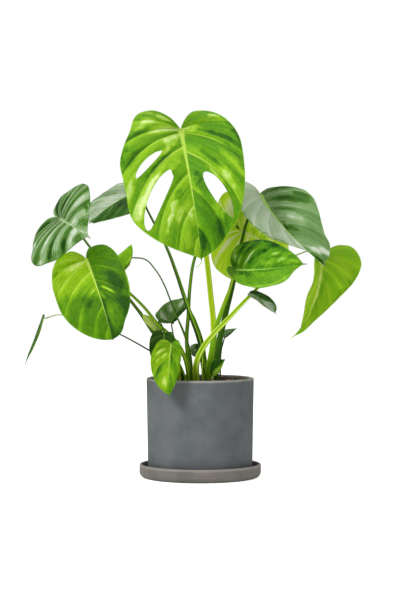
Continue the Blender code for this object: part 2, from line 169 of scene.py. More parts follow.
def only(*chosen: Object) -> None:
    """Selects these objects alone and makes the last one active.

    Args:
        chosen: the objects, none to select nothing.
    """
    for obj in bpy.context.selected_objects:
        obj.select_set(False)
    for obj in chosen:
        obj.select_set(True)
        bpy.context.view_layer.objects.active = obj


def adopt(piece: Object, slot: str, *nodes: str) -> None:
    """Puts a finished piece on the frame.

    Args:
        piece: the piece, already in place.
        slot: the record's material slot, not used.
        nodes: the CAD nodes that it stands for.
    """
    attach(piece, "root")
    if nodes:
        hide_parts(*nodes)
    LOG.info("%s: %d faces", piece.name, len(piece.data.polygons))


def grid_sheet(name: str, across: int, along: int) -> Object:
    """Adds a grid that a class then shapes.

    Args:
        name: the piece's name.
        across: faces in X, which runs from -1 to 1.
        along: faces in Y, which runs from -1 to 1.

    Returns:
        The grid object, alone selected.
    """
    only()
    bpy.ops.mesh.primitive_grid_add(x_subdivisions=across, y_subdivisions=along, size=2.0)
    sheet = bpy.context.object
    sheet.name = name
    return sheet


def read_points(items: Any, what: str) -> np.ndarray:
    """A point of each vertex or face of a mesh, as an array of (n, 3).

    Args:
        items: the mesh's vertices or polygons.
        what: the name of the value, such as co or center.

    Returns:
        The points.
    """
    flat = np.zeros(len(items) * 3)
    items.foreach_get(what, flat)
    return flat.reshape(-1, 3)


def fresh_corners(mesh: Mesh) -> np.ndarray:
    """Takes a mesh's UV maps away and gives the vertex at each face corner.

    Args:
        mesh: the mesh.

    Returns:
        The vertex index of each corner.
    """
    while mesh.uv_layers:
        mesh.uv_layers.remove(mesh.uv_layers[0])
    corner = np.zeros(len(mesh.loops), int)
    mesh.loops.foreach_get("vertex_index", corner)
    return corner


def weld(piece: Object, gap: float, caps: bool = False, outward: bool = True) -> None:
    """Joins a shell's doubled points.

    Args:
        piece: the shell.
        gap: how near points are joined, in millimetres.
        caps: whether open ends get a face.
        outward: whether its faces are turned outward.
    """
    only(piece)
    bpy.ops.object.mode_set(mode="EDIT")
    bpy.ops.mesh.select_all(action="SELECT")
    bpy.ops.mesh.remove_doubles(threshold=gap * MM)
    if caps:
        bpy.ops.mesh.select_all(action="DESELECT")
        bpy.ops.mesh.select_mode(type="EDGE")
        bpy.ops.mesh.select_non_manifold()
        bpy.ops.mesh.edge_face_add()
        bpy.ops.mesh.select_all(action="SELECT")
    if outward:
        bpy.ops.mesh.normals_make_consistent(inside=False)
    bpy.ops.object.mode_set(mode="OBJECT")


def place_vertices(piece: Object, points: np.ndarray) -> None:
    """Moves a piece's vertices to points given in millimetres."""
    piece.data.vertices.foreach_set("co", (points * MM).ravel())
    piece.data.update()


def select_faces(piece: Object, chosen: np.ndarray) -> None:
    """Selects a mesh's faces in object mode.

    Args:
        piece: the object.
        chosen: a true or false value for each face.
    """
    mesh = piece.data
    mesh.vertices.foreach_set("select", [False] * len(mesh.vertices))
    mesh.edges.foreach_set("select", [False] * len(mesh.edges))
    mesh.polygons.foreach_set("select", chosen.tolist())


def bezier(points: list[tuple[float, ...]], t: np.ndarray) -> np.ndarray:
    """Points of a Bezier curve.

    Args:
        points: its control points.
        t: the shares along it.

    Returns:
        One point for each share.
    """
    rows = [np.asarray(p, float)[None, :] for p in points]
    t = np.asarray(t)[:, None]
    while len(rows) > 1:
        rows = [a * (1 - t) + b * t for a, b in zip(rows, rows[1:])]
    return rows[0]


def smooth(x: np.ndarray, low: float, high: float) -> np.ndarray:
    """A soft step from 0 at low to 1 at high."""
    t = np.clip((x - low) / (high - low), 0, 1)
    return t * t * (3 - 2 * t)


def mix_height(radius: float) -> float:
    """The height of the potting mix, a low mound, at a distance from the axis.

    Args:
        radius: the distance.

    Returns:
        The height in millimetres.
    """
    reach = POT_RADIUS - POT_WALL
    edge = POT_TOP - MIX_DROP
    return edge + MIX_MOUND * 0.5 * (1 + math.cos(math.pi * min(radius / reach, 1)))


class Side(Enum):
    """The halves of a blade, seen from its upper face with the tip ahead."""

    LEFT = -1
    RIGHT = 1


@dataclass(frozen=True)
class PaintedLightPatch:
    """A soft painted highlight (amount above 0) or painted shade (amount below 0) on a blade's skin.

    u is the share from midrib (0) to margin, negative on the left half, and v the
    share from the basal lobe to the tip.
    """

    u: float
    v: float
    wide: float
    long: float
    amount: float


def spots(*rows: tuple[float, ...]) -> tuple[PaintedLightPatch, ...]:
    """Painted highlights and painted shade, each from its u, v, wide, long and amount."""
    return tuple(PaintedLightPatch(*row) for row in rows)


@dataclass(frozen=True)
class LeafSkin:
    """A living leaf's cuticle: satin wax over green tissue with a paler vein net.

    shadow, body, light and the palest stop are the skin from its darkest to its
    palest. The shadow end serves for painted shade and the palest stop for painted
    sheen and painted highlights, as well as for dark and pale tissue. line, streak,
    mottle, pucker and panel say how strong the pale veins and each pattern between
    them are, and rib and groove how far the streaks and the sunken veins stand out
    in the relief.
    """

    name: str
    slot: str
    shadow: str
    body: str
    light: str
    painted_sheen: str
    vein: str
    midrib: str
    edge: str
    under: str
    roughness: float = 0.34
    wax: float = 0.18
    line: float = 0.7
    streak: float = 0.45
    mottle: float = 0.2
    pucker: float = 0.25
    panel: float = 0.0
    rib: float = 2.5
    groove: float = 1.6


class Tissue(Enum):
    """The kinds of leaf on the plant."""

    BRIGHT = LeafSkin("bright_waxy_leaf", "leaf_bright", shadow="1E5400", body="5A9A00", light="9ACC1E",
        painted_sheen="DDF69A", vein="CDEB62", midrib="C2E45A", edge="8EC41A", under="8DB53C")
    FRESH = LeafSkin("fresh_heart_leaf", "leaf_bright", shadow="245600", body="5E9A00", light="A0CE14",
        painted_sheen="E2F68C", vein="B4DA3C", midrib="C2E45A", edge="8EC41A", under="8DB53C", line=0.3,
        groove=0.9)
    YELLOW = LeafSkin("yellow_green_leaf", "leaf_bright", shadow="5A9400", body="82BC06",
        light="ACDA1E", painted_sheen="E2F08C", vein="B9D642", midrib="D2E66A", edge="B4D02A", under="9CBA3A",
        roughness=0.42, streak=0.35, mottle=0.15, pucker=0.1, panel=0.06, rib=1.0, groove=0.6)
    # The lime skin is bright to paint the light that shines through these leaves from behind, and to
    # lift them where they stand in shade.
    LIME = LeafSkin("shaded_lime_leaf", "leaf_bright", shadow="2A5C04", body="A6DC0E", light="D2F236",
        painted_sheen="F4FABE", vein="CFE262", midrib="DCEC86", edge="C4DC3A", under="9CBA3A", roughness=0.5,
        wax=0.1, line=0.4, streak=1.0, mottle=0.3, pucker=0.1, rib=1.0, groove=0.6)
    DARK = LeafSkin("dark_waxy_leaf", "leaf_dark", shadow="0C2E00", body="2A5A04", light="6E9A4A",
        painted_sheen="CEDCC4", vein="5C8F30", midrib="86B04A", edge="6A9C2A", under="6A8C3C", wax=0.12,
        line=0.3, streak=0.7, mottle=0.2, pucker=0.2)
    # The pale grey-green of the next two skins is painted sheen: a bright sky reflected in the waxy
    # upper face.
    GLAUCOUS = LeafSkin("glaucous_leaf", "leaf_grey", shadow="184200", body="4A7A26", light="8FB078",
        painted_sheen="D6E2CC", vein="BCCFA8", midrib="B6D49A", edge="3F6A1C", under="86A564", roughness=0.4,
        wax=0.06, line=0.2, streak=1.0, mottle=0.15, pucker=0.1, panel=0.1)
    GREY = LeafSkin("grey_green_leaf", "leaf_grey", shadow="184200", body="4A7A26", light="8FB078",
        painted_sheen="D6E2CC", vein="BCCFA8", midrib="B4E060", edge="7AA848", under="86A564", roughness=0.4,
        wax=0.12, line=0.35, streak=0.45, mottle=0.15, pucker=0.1, rib=1.5, groove=0.6)
    GLOSSY = LeafSkin("glossy_leaf", "leaf_bright", shadow="0C4200", body="3E8202", light="84C01A",
        painted_sheen="DAF6B8", vein="9CD04A", midrib="ACDC5A", edge="78B31E", under="86B045", roughness=0.34,
        wax=0.14, streak=0.4, mottle=0.25, pucker=0.3, rib=1.5, groove=0.8)


@dataclass(frozen=True)
class Half:
    """One side of a blade, from the midrib to the margin.

    widest and back are shares of the blade's length, lobe is a share of width,
    crown and shoulder say how full the lobe and the flank are, and fold and cup are
    the angles that it rises from the midrib and curls over by. veins holds where
    the side veins meet the margin, and tone how light the skin is: the two halves
    differ partly as painted light and shade, one half turned to the light and the
    other away. The band along the veins is how much the strips pale there: above 0
    a pale band on each vein, below 0 painted shade in the grooves and painted sheen
    on the crowns between them. The slope term is how much each strip pales toward
    the vein nearer the tip, painted light and shade on its two slopes. trim holds,
    at even steps along the margin, how many millimetres the grown leaf stands out
    from or short of the plain outline.
    """

    width: float
    widest: float = 0.3
    back: float = 0.15
    lobe: float = 0.45
    crown: float = 0.6
    shoulder: float = 0.45
    fold: float = 12.0
    cup: float = 10.0
    veins: tuple[float, ...] = (0.1, 0.24, 0.38, 0.52, 0.66, 0.8, 0.92)
    tone: float = 0.4
    vein_band_and_shade: float = 0.04
    slope_shade: float = 0.15
    trim: tuple[float, ...] = ()

    def shift(self, run: np.ndarray) -> np.ndarray:
        """How far the real margin lies outside the plain one, in millimetres.

        Args:
            run: shares of the margin, from lobe to tip.

        Returns:
            One distance for each share.
        """
        places = np.linspace(0, 1, len(self.trim) + 2)[1:-1]
        reach = 0.7 / (len(self.trim) + 1)
        moved = np.zeros_like(run)
        for place, out in zip(places, self.trim):
            moved += out * np.exp(-(((run - place) / reach) ** 2))
        return moved * (1 - smooth(run, 0.955, 0.995))


@dataclass(frozen=True)
class Slit:
    """A long opening between two side veins.

    It lies along v at place and runs from start to end in u. width is half its
    width in v, peak below 1 puts the widest place near the midrib, blunt below 1
    rounds its ends, and tilt turns it.
    """

    side: Side
    place: float
    start: float
    end: float
    width: float
    peak: float = 0.8
    blunt: float = 0.5
    tilt: float = 0.0

    def spread(self, u: np.ndarray) -> np.ndarray:
        """Half the opening's width along the margin at each u."""
        share = np.clip((u - self.start) / (self.end - self.start), 0, 1)
        return self.width * np.clip(np.sin(math.pi * share**self.peak), 0, 1) ** self.blunt

    def turn(self, u: np.ndarray) -> np.ndarray:
        """How far its middle lies from its place at each u."""
        share = np.clip((u - self.start) / (self.end - self.start), 0, 1)
        return self.tilt * (share - 0.5) * np.clip(u / self.start, 0, 1)


@dataclass
class Blade:
    """A leaf blade, from its sinus to its drip tip.

    base is the sinus, tip the drip tip, and face the bearing and rise of the upper
    side: a bearing of 0 looks to the front and 90 to +X. bend, tip_bend and
    lobe_bend are how far it droops along its length, at its tip and at its lobes.
    sway bows the midrib aside, and vein_rise crowds the feet of the side veins
    toward the base. drip is the drip tip's share of the length. wave, quilt, pleat
    and rib are the heights of the margin's waves, the swelling between the veins,
    the fine pleats and the midrib. tail is the course of a dried tip. The shade
    below a height is painted shade on the skin: it holds the height, how soft the
    step is and how dark it gets. slit_edge is half the width in v of an opening's
    row of faces before it is spread, and slit_reach how far away in v rows still
    move.
    """

    name: str
    tissue: Tissue
    base: tuple[float, float, float]
    tip: tuple[float, float, float]
    face: tuple[float, float]
    left: Half
    right: Half
    bend: float = 25.0
    tip_bend: float = 10.0
    lobe_bend: float = 15.0
    wave: float = 1.5
    sway: float = 0.0
    vein_rise: float = 3.2
    drip: float = 0.07
    quilt: float = 1.2
    pleat: float = 0.2
    rib: float = 0.7
    thickness: float = 0.7
    midrib_thickness: float = 1.9
    columns: int = 22
    rows: int = 72
    slits: tuple[Slit, ...] = ()
    painted_light_and_shade: tuple[PaintedLightPatch, ...] = ()
    shade_below: tuple[float, ...] = ()
    tail: tuple[tuple[float, float, float], ...] = ()
    slit_edge: float = 0.004
    slit_reach: float = 0.09

    def half(self, side: int) -> Half:
        """The half on a side, -1 or 1."""
        return self.left if side < 0 else self.right

    def margin(self, half: Half, length: float) -> tuple[np.ndarray, np.ndarray]:
        """The margin of a half laid flat.

        Args:
            half: the half.
            length: the blade's length.

        Returns:
            Points in shares of the length, and the share of the run at each.
        """
        w = half.width / length
        inner = half.lobe * w
        reach_back = half.widest + half.back
        lobe = bezier([(inner, -half.back), (inner + half.crown * (w - inner), -half.back),
            (w, half.widest - half.crown * reach_back), (w, half.widest)], np.linspace(0, 1, 50))
        neck = (self.drip * 0.22, 1 - self.drip)
        reach = neck[1] - half.widest
        full = half.shoulder
        flank = bezier([(w, half.widest), (w, half.widest + full * reach),
            (0.8 * full * w, neck[1] - 0.25 * (1 - full) * reach), neck], np.linspace(0, 1, 80))
        end = bezier([neck, (neck[0] * 0.35, 1 - self.drip * 0.7), (0.0, 1.0)], np.linspace(0, 1, 20))
        line = np.concatenate([lobe, flank[1:], end[1:]])
        steps = np.linalg.norm(np.diff(line, axis=0), axis=1)
        run = np.concatenate([[0], np.cumsum(steps)]) / steps.sum()
        ahead = np.gradient(line, axis=0)
        ahead /= np.linalg.norm(ahead, axis=1)[:, None]
        outward = np.stack([ahead[:, 1], -ahead[:, 0]], -1)
        return line + outward * half.shift(run)[:, None] / length, run

    def spine(self) -> tuple[np.ndarray, np.ndarray, np.ndarray, np.ndarray]:
        """The midrib's side view for a length of 1.

        Returns:
            Shares of the length, and the slope, run and drop at each.
        """
        back = max(self.left.back, self.right.back, 0.05) * 1.4
        behind = 29
        s = np.concatenate([np.linspace(-back, 0, behind + 1)[:-1], np.linspace(0, 1, 120)])
        ahead = -math.radians(self.bend) * np.clip(s, 0, 1)
        ahead = ahead - math.radians(self.tip_bend) * np.clip((s - 0.7) / 0.3, 0, 1) ** 2
        slope = np.where(s >= 0, ahead, math.radians(self.lobe_bend) * (-s / back))
        middle = (slope[1:] + slope[:-1]) / 2
        run = np.concatenate([[0], np.cumsum(np.diff(s) * np.cos(middle))])
        drop = np.concatenate([[0], np.cumsum(np.diff(s) * np.sin(middle))])
        return s, slope, run - run[behind], drop - drop[behind]

    def axes(self) -> tuple[float, np.ndarray, np.ndarray, np.ndarray]:
        """The blade's length and its directions across, along and out of its face.

        Returns:
            The length in millimetres and three unit directions.
        """
        _, _, run, drop = self.spine()
        chord = np.asarray(self.tip, float) - np.asarray(self.base, float)
        length = float(np.linalg.norm(chord)) / math.hypot(run[-1], drop[-1])
        chord /= np.linalg.norm(chord)
        bearing, rise = (math.radians(a) for a in self.face)
        level = math.cos(rise)
        out = np.array([math.sin(bearing) * level, -math.cos(bearing) * level, math.sin(rise)])
        out -= out.dot(chord) * chord
        out /= np.linalg.norm(out)
        dip = math.atan2(drop[-1], run[-1])
        along = chord * math.cos(dip) - out * math.sin(dip)
        normal = out * math.cos(dip) + chord * math.sin(dip)
        return length, np.cross(along, normal), along, normal

    def phase(self, side: int, v: np.ndarray) -> np.ndarray:
        """Counts the side veins along a half: whole numbers lie on a vein.

        Args:
            side: -1 or 1.
            v: shares from the basal lobe to the tip.

        Returns:
            The count at each share.
        """
        veins = self.half(side).veins
        places = (-0.06, *veins, 1.05)
        return np.interp(v, places, np.arange(len(places)))

    def surface(self, side: int, u: np.ndarray, v: np.ndarray) -> np.ndarray:
        """World points of a half's middle surface.

        Args:
            side: -1 or 1.
            u: shares from midrib to margin.
            v: shares from the basal lobe to the tip.

        Returns:
            Points in millimetres.
        """
        half = self.half(side)
        length, across, along, normal = self.axes()
        s, slope, run, drop = self.spine()
        line, share_run = self.margin(half, length)
        edge = np.stack([np.interp(v, share_run, line[:, 0]), np.interp(v, share_run, line[:, 1])], -1)
        edge = edge * length
        root = np.stack([np.zeros_like(v), length * v**self.vein_rise], -1)
        chord = edge - root
        bow = root + 0.5 * chord + VEIN_BOW * np.stack([chord[:, 1], -chord[:, 0]], -1)
        t = u[:, None]
        flat = (1 - t) ** 2 * root + 2 * t * (1 - t) * bow + t**2 * edge
        share = flat[:, 0] / half.width
        fold = math.radians(half.fold)
        cup = math.radians(half.cup)
        x = side * half.width / cup * (math.sin(fold) - np.sin(fold - cup * share))
        lift = half.width / cup * (np.cos(fold - cup * share) - math.cos(fold))
        lift = lift + self.wave * np.sin(2 * math.pi * MARGIN_WAVES * v + 0.7 + side) * share**2
        lift = lift + self.relief(side, u, v, flat[:, 0])
        place = flat[:, 1] / length
        inside = np.clip(place, 0, 1)
        x = x + self.sway * length * 4 * inside * (1 - inside)
        tilt = np.interp(place, s, slope)
        y = np.interp(place, s, run) * length - lift * np.sin(tilt)
        z = np.interp(place, s, drop) * length + lift * np.cos(tilt)
        base = np.asarray(self.base, float)
        return base + x[:, None] * across + y[:, None] * along + z[:, None] * normal

    def relief(self, side: int, u: np.ndarray, v: np.ndarray, reach: np.ndarray) -> np.ndarray:
        """How far the skin swells between the side veins and rises along the midrib.

        Args:
            side: -1 or 1.
            u: shares from midrib to margin.
            v: shares from the basal lobe to the tip.
            reach: the distance from the midrib in millimetres.

        Returns:
            Heights in millimetres.
        """
        phase = self.phase(side, v)
        room = np.clip(reach / 12.0, 0, 1)
        body = np.sin(math.pi * np.clip(u, 0, 1) ** 0.85) ** 0.7 * room
        swell = self.quilt * np.abs(np.sin(math.pi * phase)) ** 0.7
        pleats = self.pleat * np.sin(2 * math.pi * 3.0 * phase + 1.3 * side)
        ridge = self.rib * (1 - smooth(v, 0.7, 1.0)) * np.exp(-((reach / 1.4) ** 2))
        return (swell + pleats) * body + ridge * smooth(v, 0.0, 0.25)

    def row_places(self) -> tuple[np.ndarray, list[int]]:
        """The v of each row, and the rows of faces that hold an opening.

        Returns:
            The places, and the index of each row of faces.
        """
        rows = np.linspace(0, 1, self.rows + 1)
        places = sorted({slit.place for slit in self.slits})
        for place in places:
            rows = rows[np.abs(rows - place) > 0.6 / self.rows]
        edges = [place + d for place in places for d in (-self.slit_edge, self.slit_edge)]
        rows = np.array(sorted([*rows, *edges]))
        return rows, [int(np.argmin(np.abs(rows - (place - self.slit_edge)))) for place in places]

    def build(self) -> Object:
        """Shapes the blade from a grid whose middle column is the midrib.

        Returns:
            The blade, a closed thin solid.
        """
        rows, open_rows = self.row_places()
        count = len(rows) - 1
        blade = grid_sheet(f"leaf_{self.name}", 2 * self.columns, count)
        self.open_slits(blade, rows, open_rows)
        places = read_points(blade.data.vertices, "co")
        column = (np.abs(places[:, 0]) * self.columns).round() / self.columns
        u = column**CROWDING
        side = np.where(places[:, 0] < -1e-6, -1, 1)
        v = rows[((places[:, 1] + 1) / 2 * count).round().astype(int)]
        v = self.widen(side, u, v)
        self.lay_uv(blade, places[:, 0], u, v)
        points = np.zeros((len(u), 3))
        for value in (-1, 1):
            mine = side == value
            points[mine] = self.surface(value, u[mine], v[mine])
        place_vertices(blade, points)
        self.thicken(blade, u, v)
        if self.tail:
            self.add_tail(blade)
        return blade

    def open_slits(self, blade: Object, rows: np.ndarray, open_rows: list[int]) -> None:
        """Deletes the faces inside the openings.

        Args:
            blade: the grid.
            rows: the v of each row.
            open_rows: the rows of faces that an opening runs along.
        """
        if not self.slits:
            return
        mesh = blade.data
        centres = read_points(mesh.polygons, "center")
        row = np.floor((centres[:, 1] + 1) / 2 * (len(rows) - 1)).astype(int)
        u = np.abs(centres[:, 0]) ** CROWDING
        chosen = np.zeros(len(mesh.polygons), bool)
        for slit in self.slits:
            index = min(open_rows, key=lambda r: abs(rows[r] + self.slit_edge - slit.place))
            inside = (u > slit.start) & (u < slit.end)
            chosen |= (row == index) & (np.sign(centres[:, 0]) == slit.side.value) & inside
        select_faces(blade, chosen)
        only(blade)
        bpy.ops.object.mode_set(mode="EDIT")
        bpy.ops.mesh.select_mode(type="FACE")
        bpy.ops.mesh.delete(type="FACE")
        bpy.ops.object.mode_set(mode="OBJECT")

    def widen(self, side: np.ndarray, u: np.ndarray, v: np.ndarray) -> np.ndarray:
        """Moves the rows beside each opening apart.

        Args:
            side: -1 or 1 for each vertex.
            u: each vertex's share from midrib to margin.
            v: each vertex's share from lobe to tip.

        Returns:
            The new v.
        """
        moved = v.copy()
        for slit in self.slits:
            away = v - slit.place
            push = np.sign(away) * slit.spread(u) + slit.turn(u)
            push = push * np.exp(-((away / self.slit_reach) ** 2))
            moved += np.where(side == slit.side.value, push, 0)
        return moved

    def lay_uv(self, blade: Object, across: np.ndarray, u: np.ndarray, v: np.ndarray) -> None:
        """Stores u and v, and u and the vein count, as the blade's two UV maps.

        Args:
            blade: the grid, before it is shaped.
            across: each vertex's X on the grid.
            u: its share from midrib to margin.
            v: its share from lobe to tip.
        """
        mesh = blade.data
        corner = fresh_corners(mesh)
        totals = np.zeros(len(mesh.polygons), int)
        mesh.polygons.foreach_get("loop_total", totals)
        face = np.repeat(np.arange(len(mesh.polygons)), totals)
        middle = np.bincount(face, across[corner]) / totals
        side = np.where(middle[face] < 0, -1, 1)
        phase = np.where(side < 0, self.phase(-1, v[corner]), self.phase(1, v[corner]))
        skin = np.stack([side * u[corner], v[corner]], -1)
        veins = np.stack([side * u[corner], phase], -1)
        for name, values in (("skin", skin), ("veins", veins)):
            mesh.uv_layers.new(name=name).data.foreach_set("uv", values.ravel())

    def thicken(self, blade: Object, u: np.ndarray, v: np.ndarray) -> None:
        """Gives the sheet its thickness, most along the midrib.

        Args:
            blade: the shaped sheet.
            u: each vertex's share from midrib to margin.
            v: its share from lobe to tip.
        """
        group = blade.vertex_groups.new(name="midrib")
        weight = (1 - smooth(u, 0.0, 0.05)) * (1 - v)
        for index in np.nonzero(weight > 0.001)[0]:
            group.add([int(index)], float(weight[index]), "REPLACE")
        weld(blade, 0.02, outward=False)
        solid = blade.modifiers.new("Thickness", "SOLIDIFY")
        solid.thickness = self.midrib_thickness * MM
        solid.offset = 0.0
        solid.vertex_group = group.name
        solid.thickness_vertex_group = self.thickness / self.midrib_thickness
        solid.material_offset = 1
        blade.data.materials.append(None)
        blade.data.materials.append(None)
        bpy.ops.object.modifier_apply(modifier=solid.name)
        bpy.ops.object.shade_smooth_by_angle(angle=math.radians(55))

    def add_tail(self, blade: Object) -> None:
        """Joins the fine dried tail to the drip tip.

        Args:
            blade: the finished blade.
        """
        steps = ((0, 0, 1.5), (0, 0, 0), *self.tail)
        path = np.array([np.asarray(self.tip, float) + np.asarray(step, float) for step in steps])
        radii = np.linspace(0.75, 0.25, len(path))
        tail = Tube(name="tail", path=path, radii=radii, sides=8).build()
        tail.data.uv_layers[0].name = "skin"
        tail.data.uv_layers.new(name="veins")
        for layer in tail.data.uv_layers:
            layer.data.foreach_set("uv", [0.01, 0.97] * len(tail.data.loops))
        only(tail, blade)
        bpy.ops.object.join()

    def dress(self, blade: Object) -> None:
        """Paints both faces of the blade.

        Args:
            blade: the finished blade.
        """
        skin: LeafSkin = self.tissue.value
        blade.data.materials[0] = LeafPaint(skin, self).upper()
        blade.data.materials[1] = LeafPaint(skin, self).under()
        adopt(blade, skin.slot, f"blade_{self.name}")


@dataclass(frozen=True)
class LeafPaint:
    """Paints one blade: its skin, veins, midrib and margin."""

    skin: LeafSkin
    blade: Blade

    def upper(self) -> Material:
        """The upper face: waxed cuticle, paler along the veins, streaked between them.

        Returns:
            The material.
        """
        skin, blade = self.skin, self.blade
        material, add, shader = fresh_material(f"{skin.name}_{blade.name}")
        place = add("SeparateXYZ", (add("UVMap", uv_map="skin"),))
        veins = add("SeparateXYZ", (add("UVMap", uv_map="veins"),))
        side_u, v, phase = place.outputs[0], place.outputs[1], veins.outputs[1]
        u = add("Math", (side_u,), operation="ABSOLUTE")
        right = add("Math", (side_u, 0.0), operation="GREATER_THAN")
        own = add("TexCoord").outputs["Object"]
        streak = self.streaks(add, side_u, phase)
        # Mottling about 20 mm across, and puckers about 4 mm.
        mottle = add("TexNoise", {"Vector": own, "Scale": 48.0, "Detail": 3.0, "Roughness": 0.5})
        pucker = add("TexNoise", {"Vector": own, "Scale": 240.0, "Detail": 2.0, "Roughness": 0.6})
        turn = add("Math", (phase, 2 * math.pi), operation="MULTIPLY")
        wave = add("Math", (turn,), operation="COSINE")
        slope_shade = add("Math", (phase,), operation="FRACT")
        left_half, right_half = blade.left, blade.right
        # The two halves' tones differ partly as painted light and shade. Below 0, the band along the
        # veins paints shade in the grooves and sheen on the crowns, and the slope term paints light and
        # shade on each strip's two slopes.
        total = add("Mix", {0: right, 2: left_half.tone, 3: right_half.tone}, data_type="FLOAT")
        vein_band_and_shade = add("Mix", {0: right, 2: left_half.vein_band_and_shade, 3: right_half.vein_band_and_shade}, data_type="FLOAT")
        total = add("Math", (wave, vein_band_and_shade, total), operation="MULTIPLY_ADD")
        count = add("Math", (phase,), operation="FLOOR")
        count = add("Math", (right, 20.0, count), operation="MULTIPLY_ADD")
        panel = add("TexWhiteNoise", {"W": count}, noise_dimensions="1D")
        slope = add("Mix", {0: right, 2: left_half.slope_shade, 3: right_half.slope_shade}, data_type="FLOAT")
        parts = ((slope_shade, slope), (streak, skin.streak), (mottle, skin.mottle), (pucker, skin.pucker),
            (panel, skin.panel))
        for pattern, amount in parts:
            centred = add("Math", (pattern, 0.5), operation="SUBTRACT")
            total = add("Math", (centred, amount, total), operation="MULTIPLY_ADD")
        # Painted shade below a set height.
        total = self.shade(add, total, own)
        at = self.uneven(add, side_u, v, own)
        # Each patch adds a painted highlight or painted shade.
        for patch in blade.painted_light_and_shade:
            total = self.add_painted_light(add, total, at, patch)
        ramp = add("ValToRGB", (total,))
        set_stops(ramp, [(0.0, skin.shadow), (0.35, skin.body), (0.68, skin.light), (1.0, skin.painted_sheen)])
        near = add("Math", (phase, 0.5), operation="PINGPONG")
        strength = add("MapRange", (u, 0.1, 0.8, skin.line, 0.0))
        upper = add("MapRange", (v, 0.6, 0.9, 1.0, 0.0), **SOFT)
        strength = add("Math", (strength, upper), operation="MULTIPLY")
        line = add("MapRange", (near, 0.01, 0.045, strength, 0.0), **SOFT)
        margin = add("Math", (1.0, u), operation="SUBTRACT")
        margin = add("MapRange", (margin, 0.006, 0.02, 0.7, 0.0), **SOFT)
        slim = add("MapRange", (v, 0.4, 0.95, 0.35, 1.2))
        slim = add("Math", (u, slim), operation="MULTIPLY")
        midrib = add("MapRange", (slim, 0.008, 0.022, 0.95, 0.0), **SOFT)
        colour = ramp.outputs[0]
        for share, over in ((line, skin.vein), (margin, skin.edge), (midrib, skin.midrib)):
            colour = add("Mix", {0: share, 6: colour, 7: linear(over)}, data_type="RGBA").outputs[2]
        plug(shader, {"Base Color": colour})
        self.surface(add, shader, own, u, near, streak, mottle)
        return material

    def shade(self, add: Adder, total: Node, own: NodeSocket) -> Node:
        """Paints shade into the tone below the blade's set height.

        Args:
            add: adds a node to the material.
            total: the tone so far.
            own: the piece's Object coordinates.

        Returns:
            The new tone.
        """
        if self.blade.shade_below:
            height, soft, amount = self.blade.shade_below
            z = add("SeparateXYZ", (own,)).outputs[2]
            low = add("MapRange", (z, (height - soft) * MM, (height + soft) * MM, -amount, 0.0), **SOFT)
            total = add("Math", (total, low), operation="ADD")
        return total

    def streaks(self, add: Adder, side_u: NodeSocket, phase: NodeSocket) -> Node:
        """Streaks that run out along the side veins, as the tissue between them does.

        Args:
            add: adds a node to the material.
            side_u: the signed share from midrib to margin.
            phase: the side veins' count.

        Returns:
            The pattern.
        """
        seed = float(sum(map(ord, self.blade.name)) % 37)
        run = add("CombineXYZ", (side_u, phase, seed))
        fine = add("VectorMath", (run, (1.8, 15.0, 1.0)), operation="MULTIPLY")
        return add("TexNoise", {"Vector": fine, "Scale": 1.0, "Detail": 4.0, "Roughness": 0.62})

    def uneven(self, add: Adder, side_u: NodeSocket, v: NodeSocket, own: NodeSocket) -> Node:
        """The place on the blade, shaken a little so that no painted highlight or shade has an even
        edge.

        Args:
            add: adds a node to the material.
            side_u: the signed share from midrib to margin.
            v: the share from lobe to tip.
            own: the piece's Object coordinates.

        Returns:
            The shaken place.
        """
        # It wanders over about 12 mm, mostly across the blade.
        shake = add("TexNoise", {"Vector": own, "Scale": 80.0, "Detail": 1.0}).outputs["Color"]
        shake = add("VectorMath", (shake, (0.5, 0.5, 0.5)), operation="SUBTRACT")
        shake = add("VectorMath", (shake, (0.35, 0.03, 0)), operation="MULTIPLY")
        at = add("CombineXYZ", (side_u, v))
        return add("VectorMath", (at, shake), operation="ADD")

    def add_painted_light(self, add: Adder, total: Node, at: Node, patch: PaintedLightPatch) -> Node:
        """Adds a soft painted highlight or painted shade to the skin's tone.

        Args:
            add: adds a node to the material.
            total: the tone so far.
            at: the place on the blade.
            patch: the patch.

        Returns:
            The new tone.
        """
        off = add("VectorMath", (at, (patch.u, patch.v, 0)), operation="SUBTRACT")
        size = (1 / patch.wide, 1 / patch.long, 0)
        off = add("VectorMath", (off, size), operation="MULTIPLY")
        far = add("VectorMath", (off,), operation="LENGTH").outputs["Value"]
        near = add("MapRange", (far, 0.2, 1.0, patch.amount, 0.0), **SOFT)
        return add("Math", (total, near), operation="ADD")

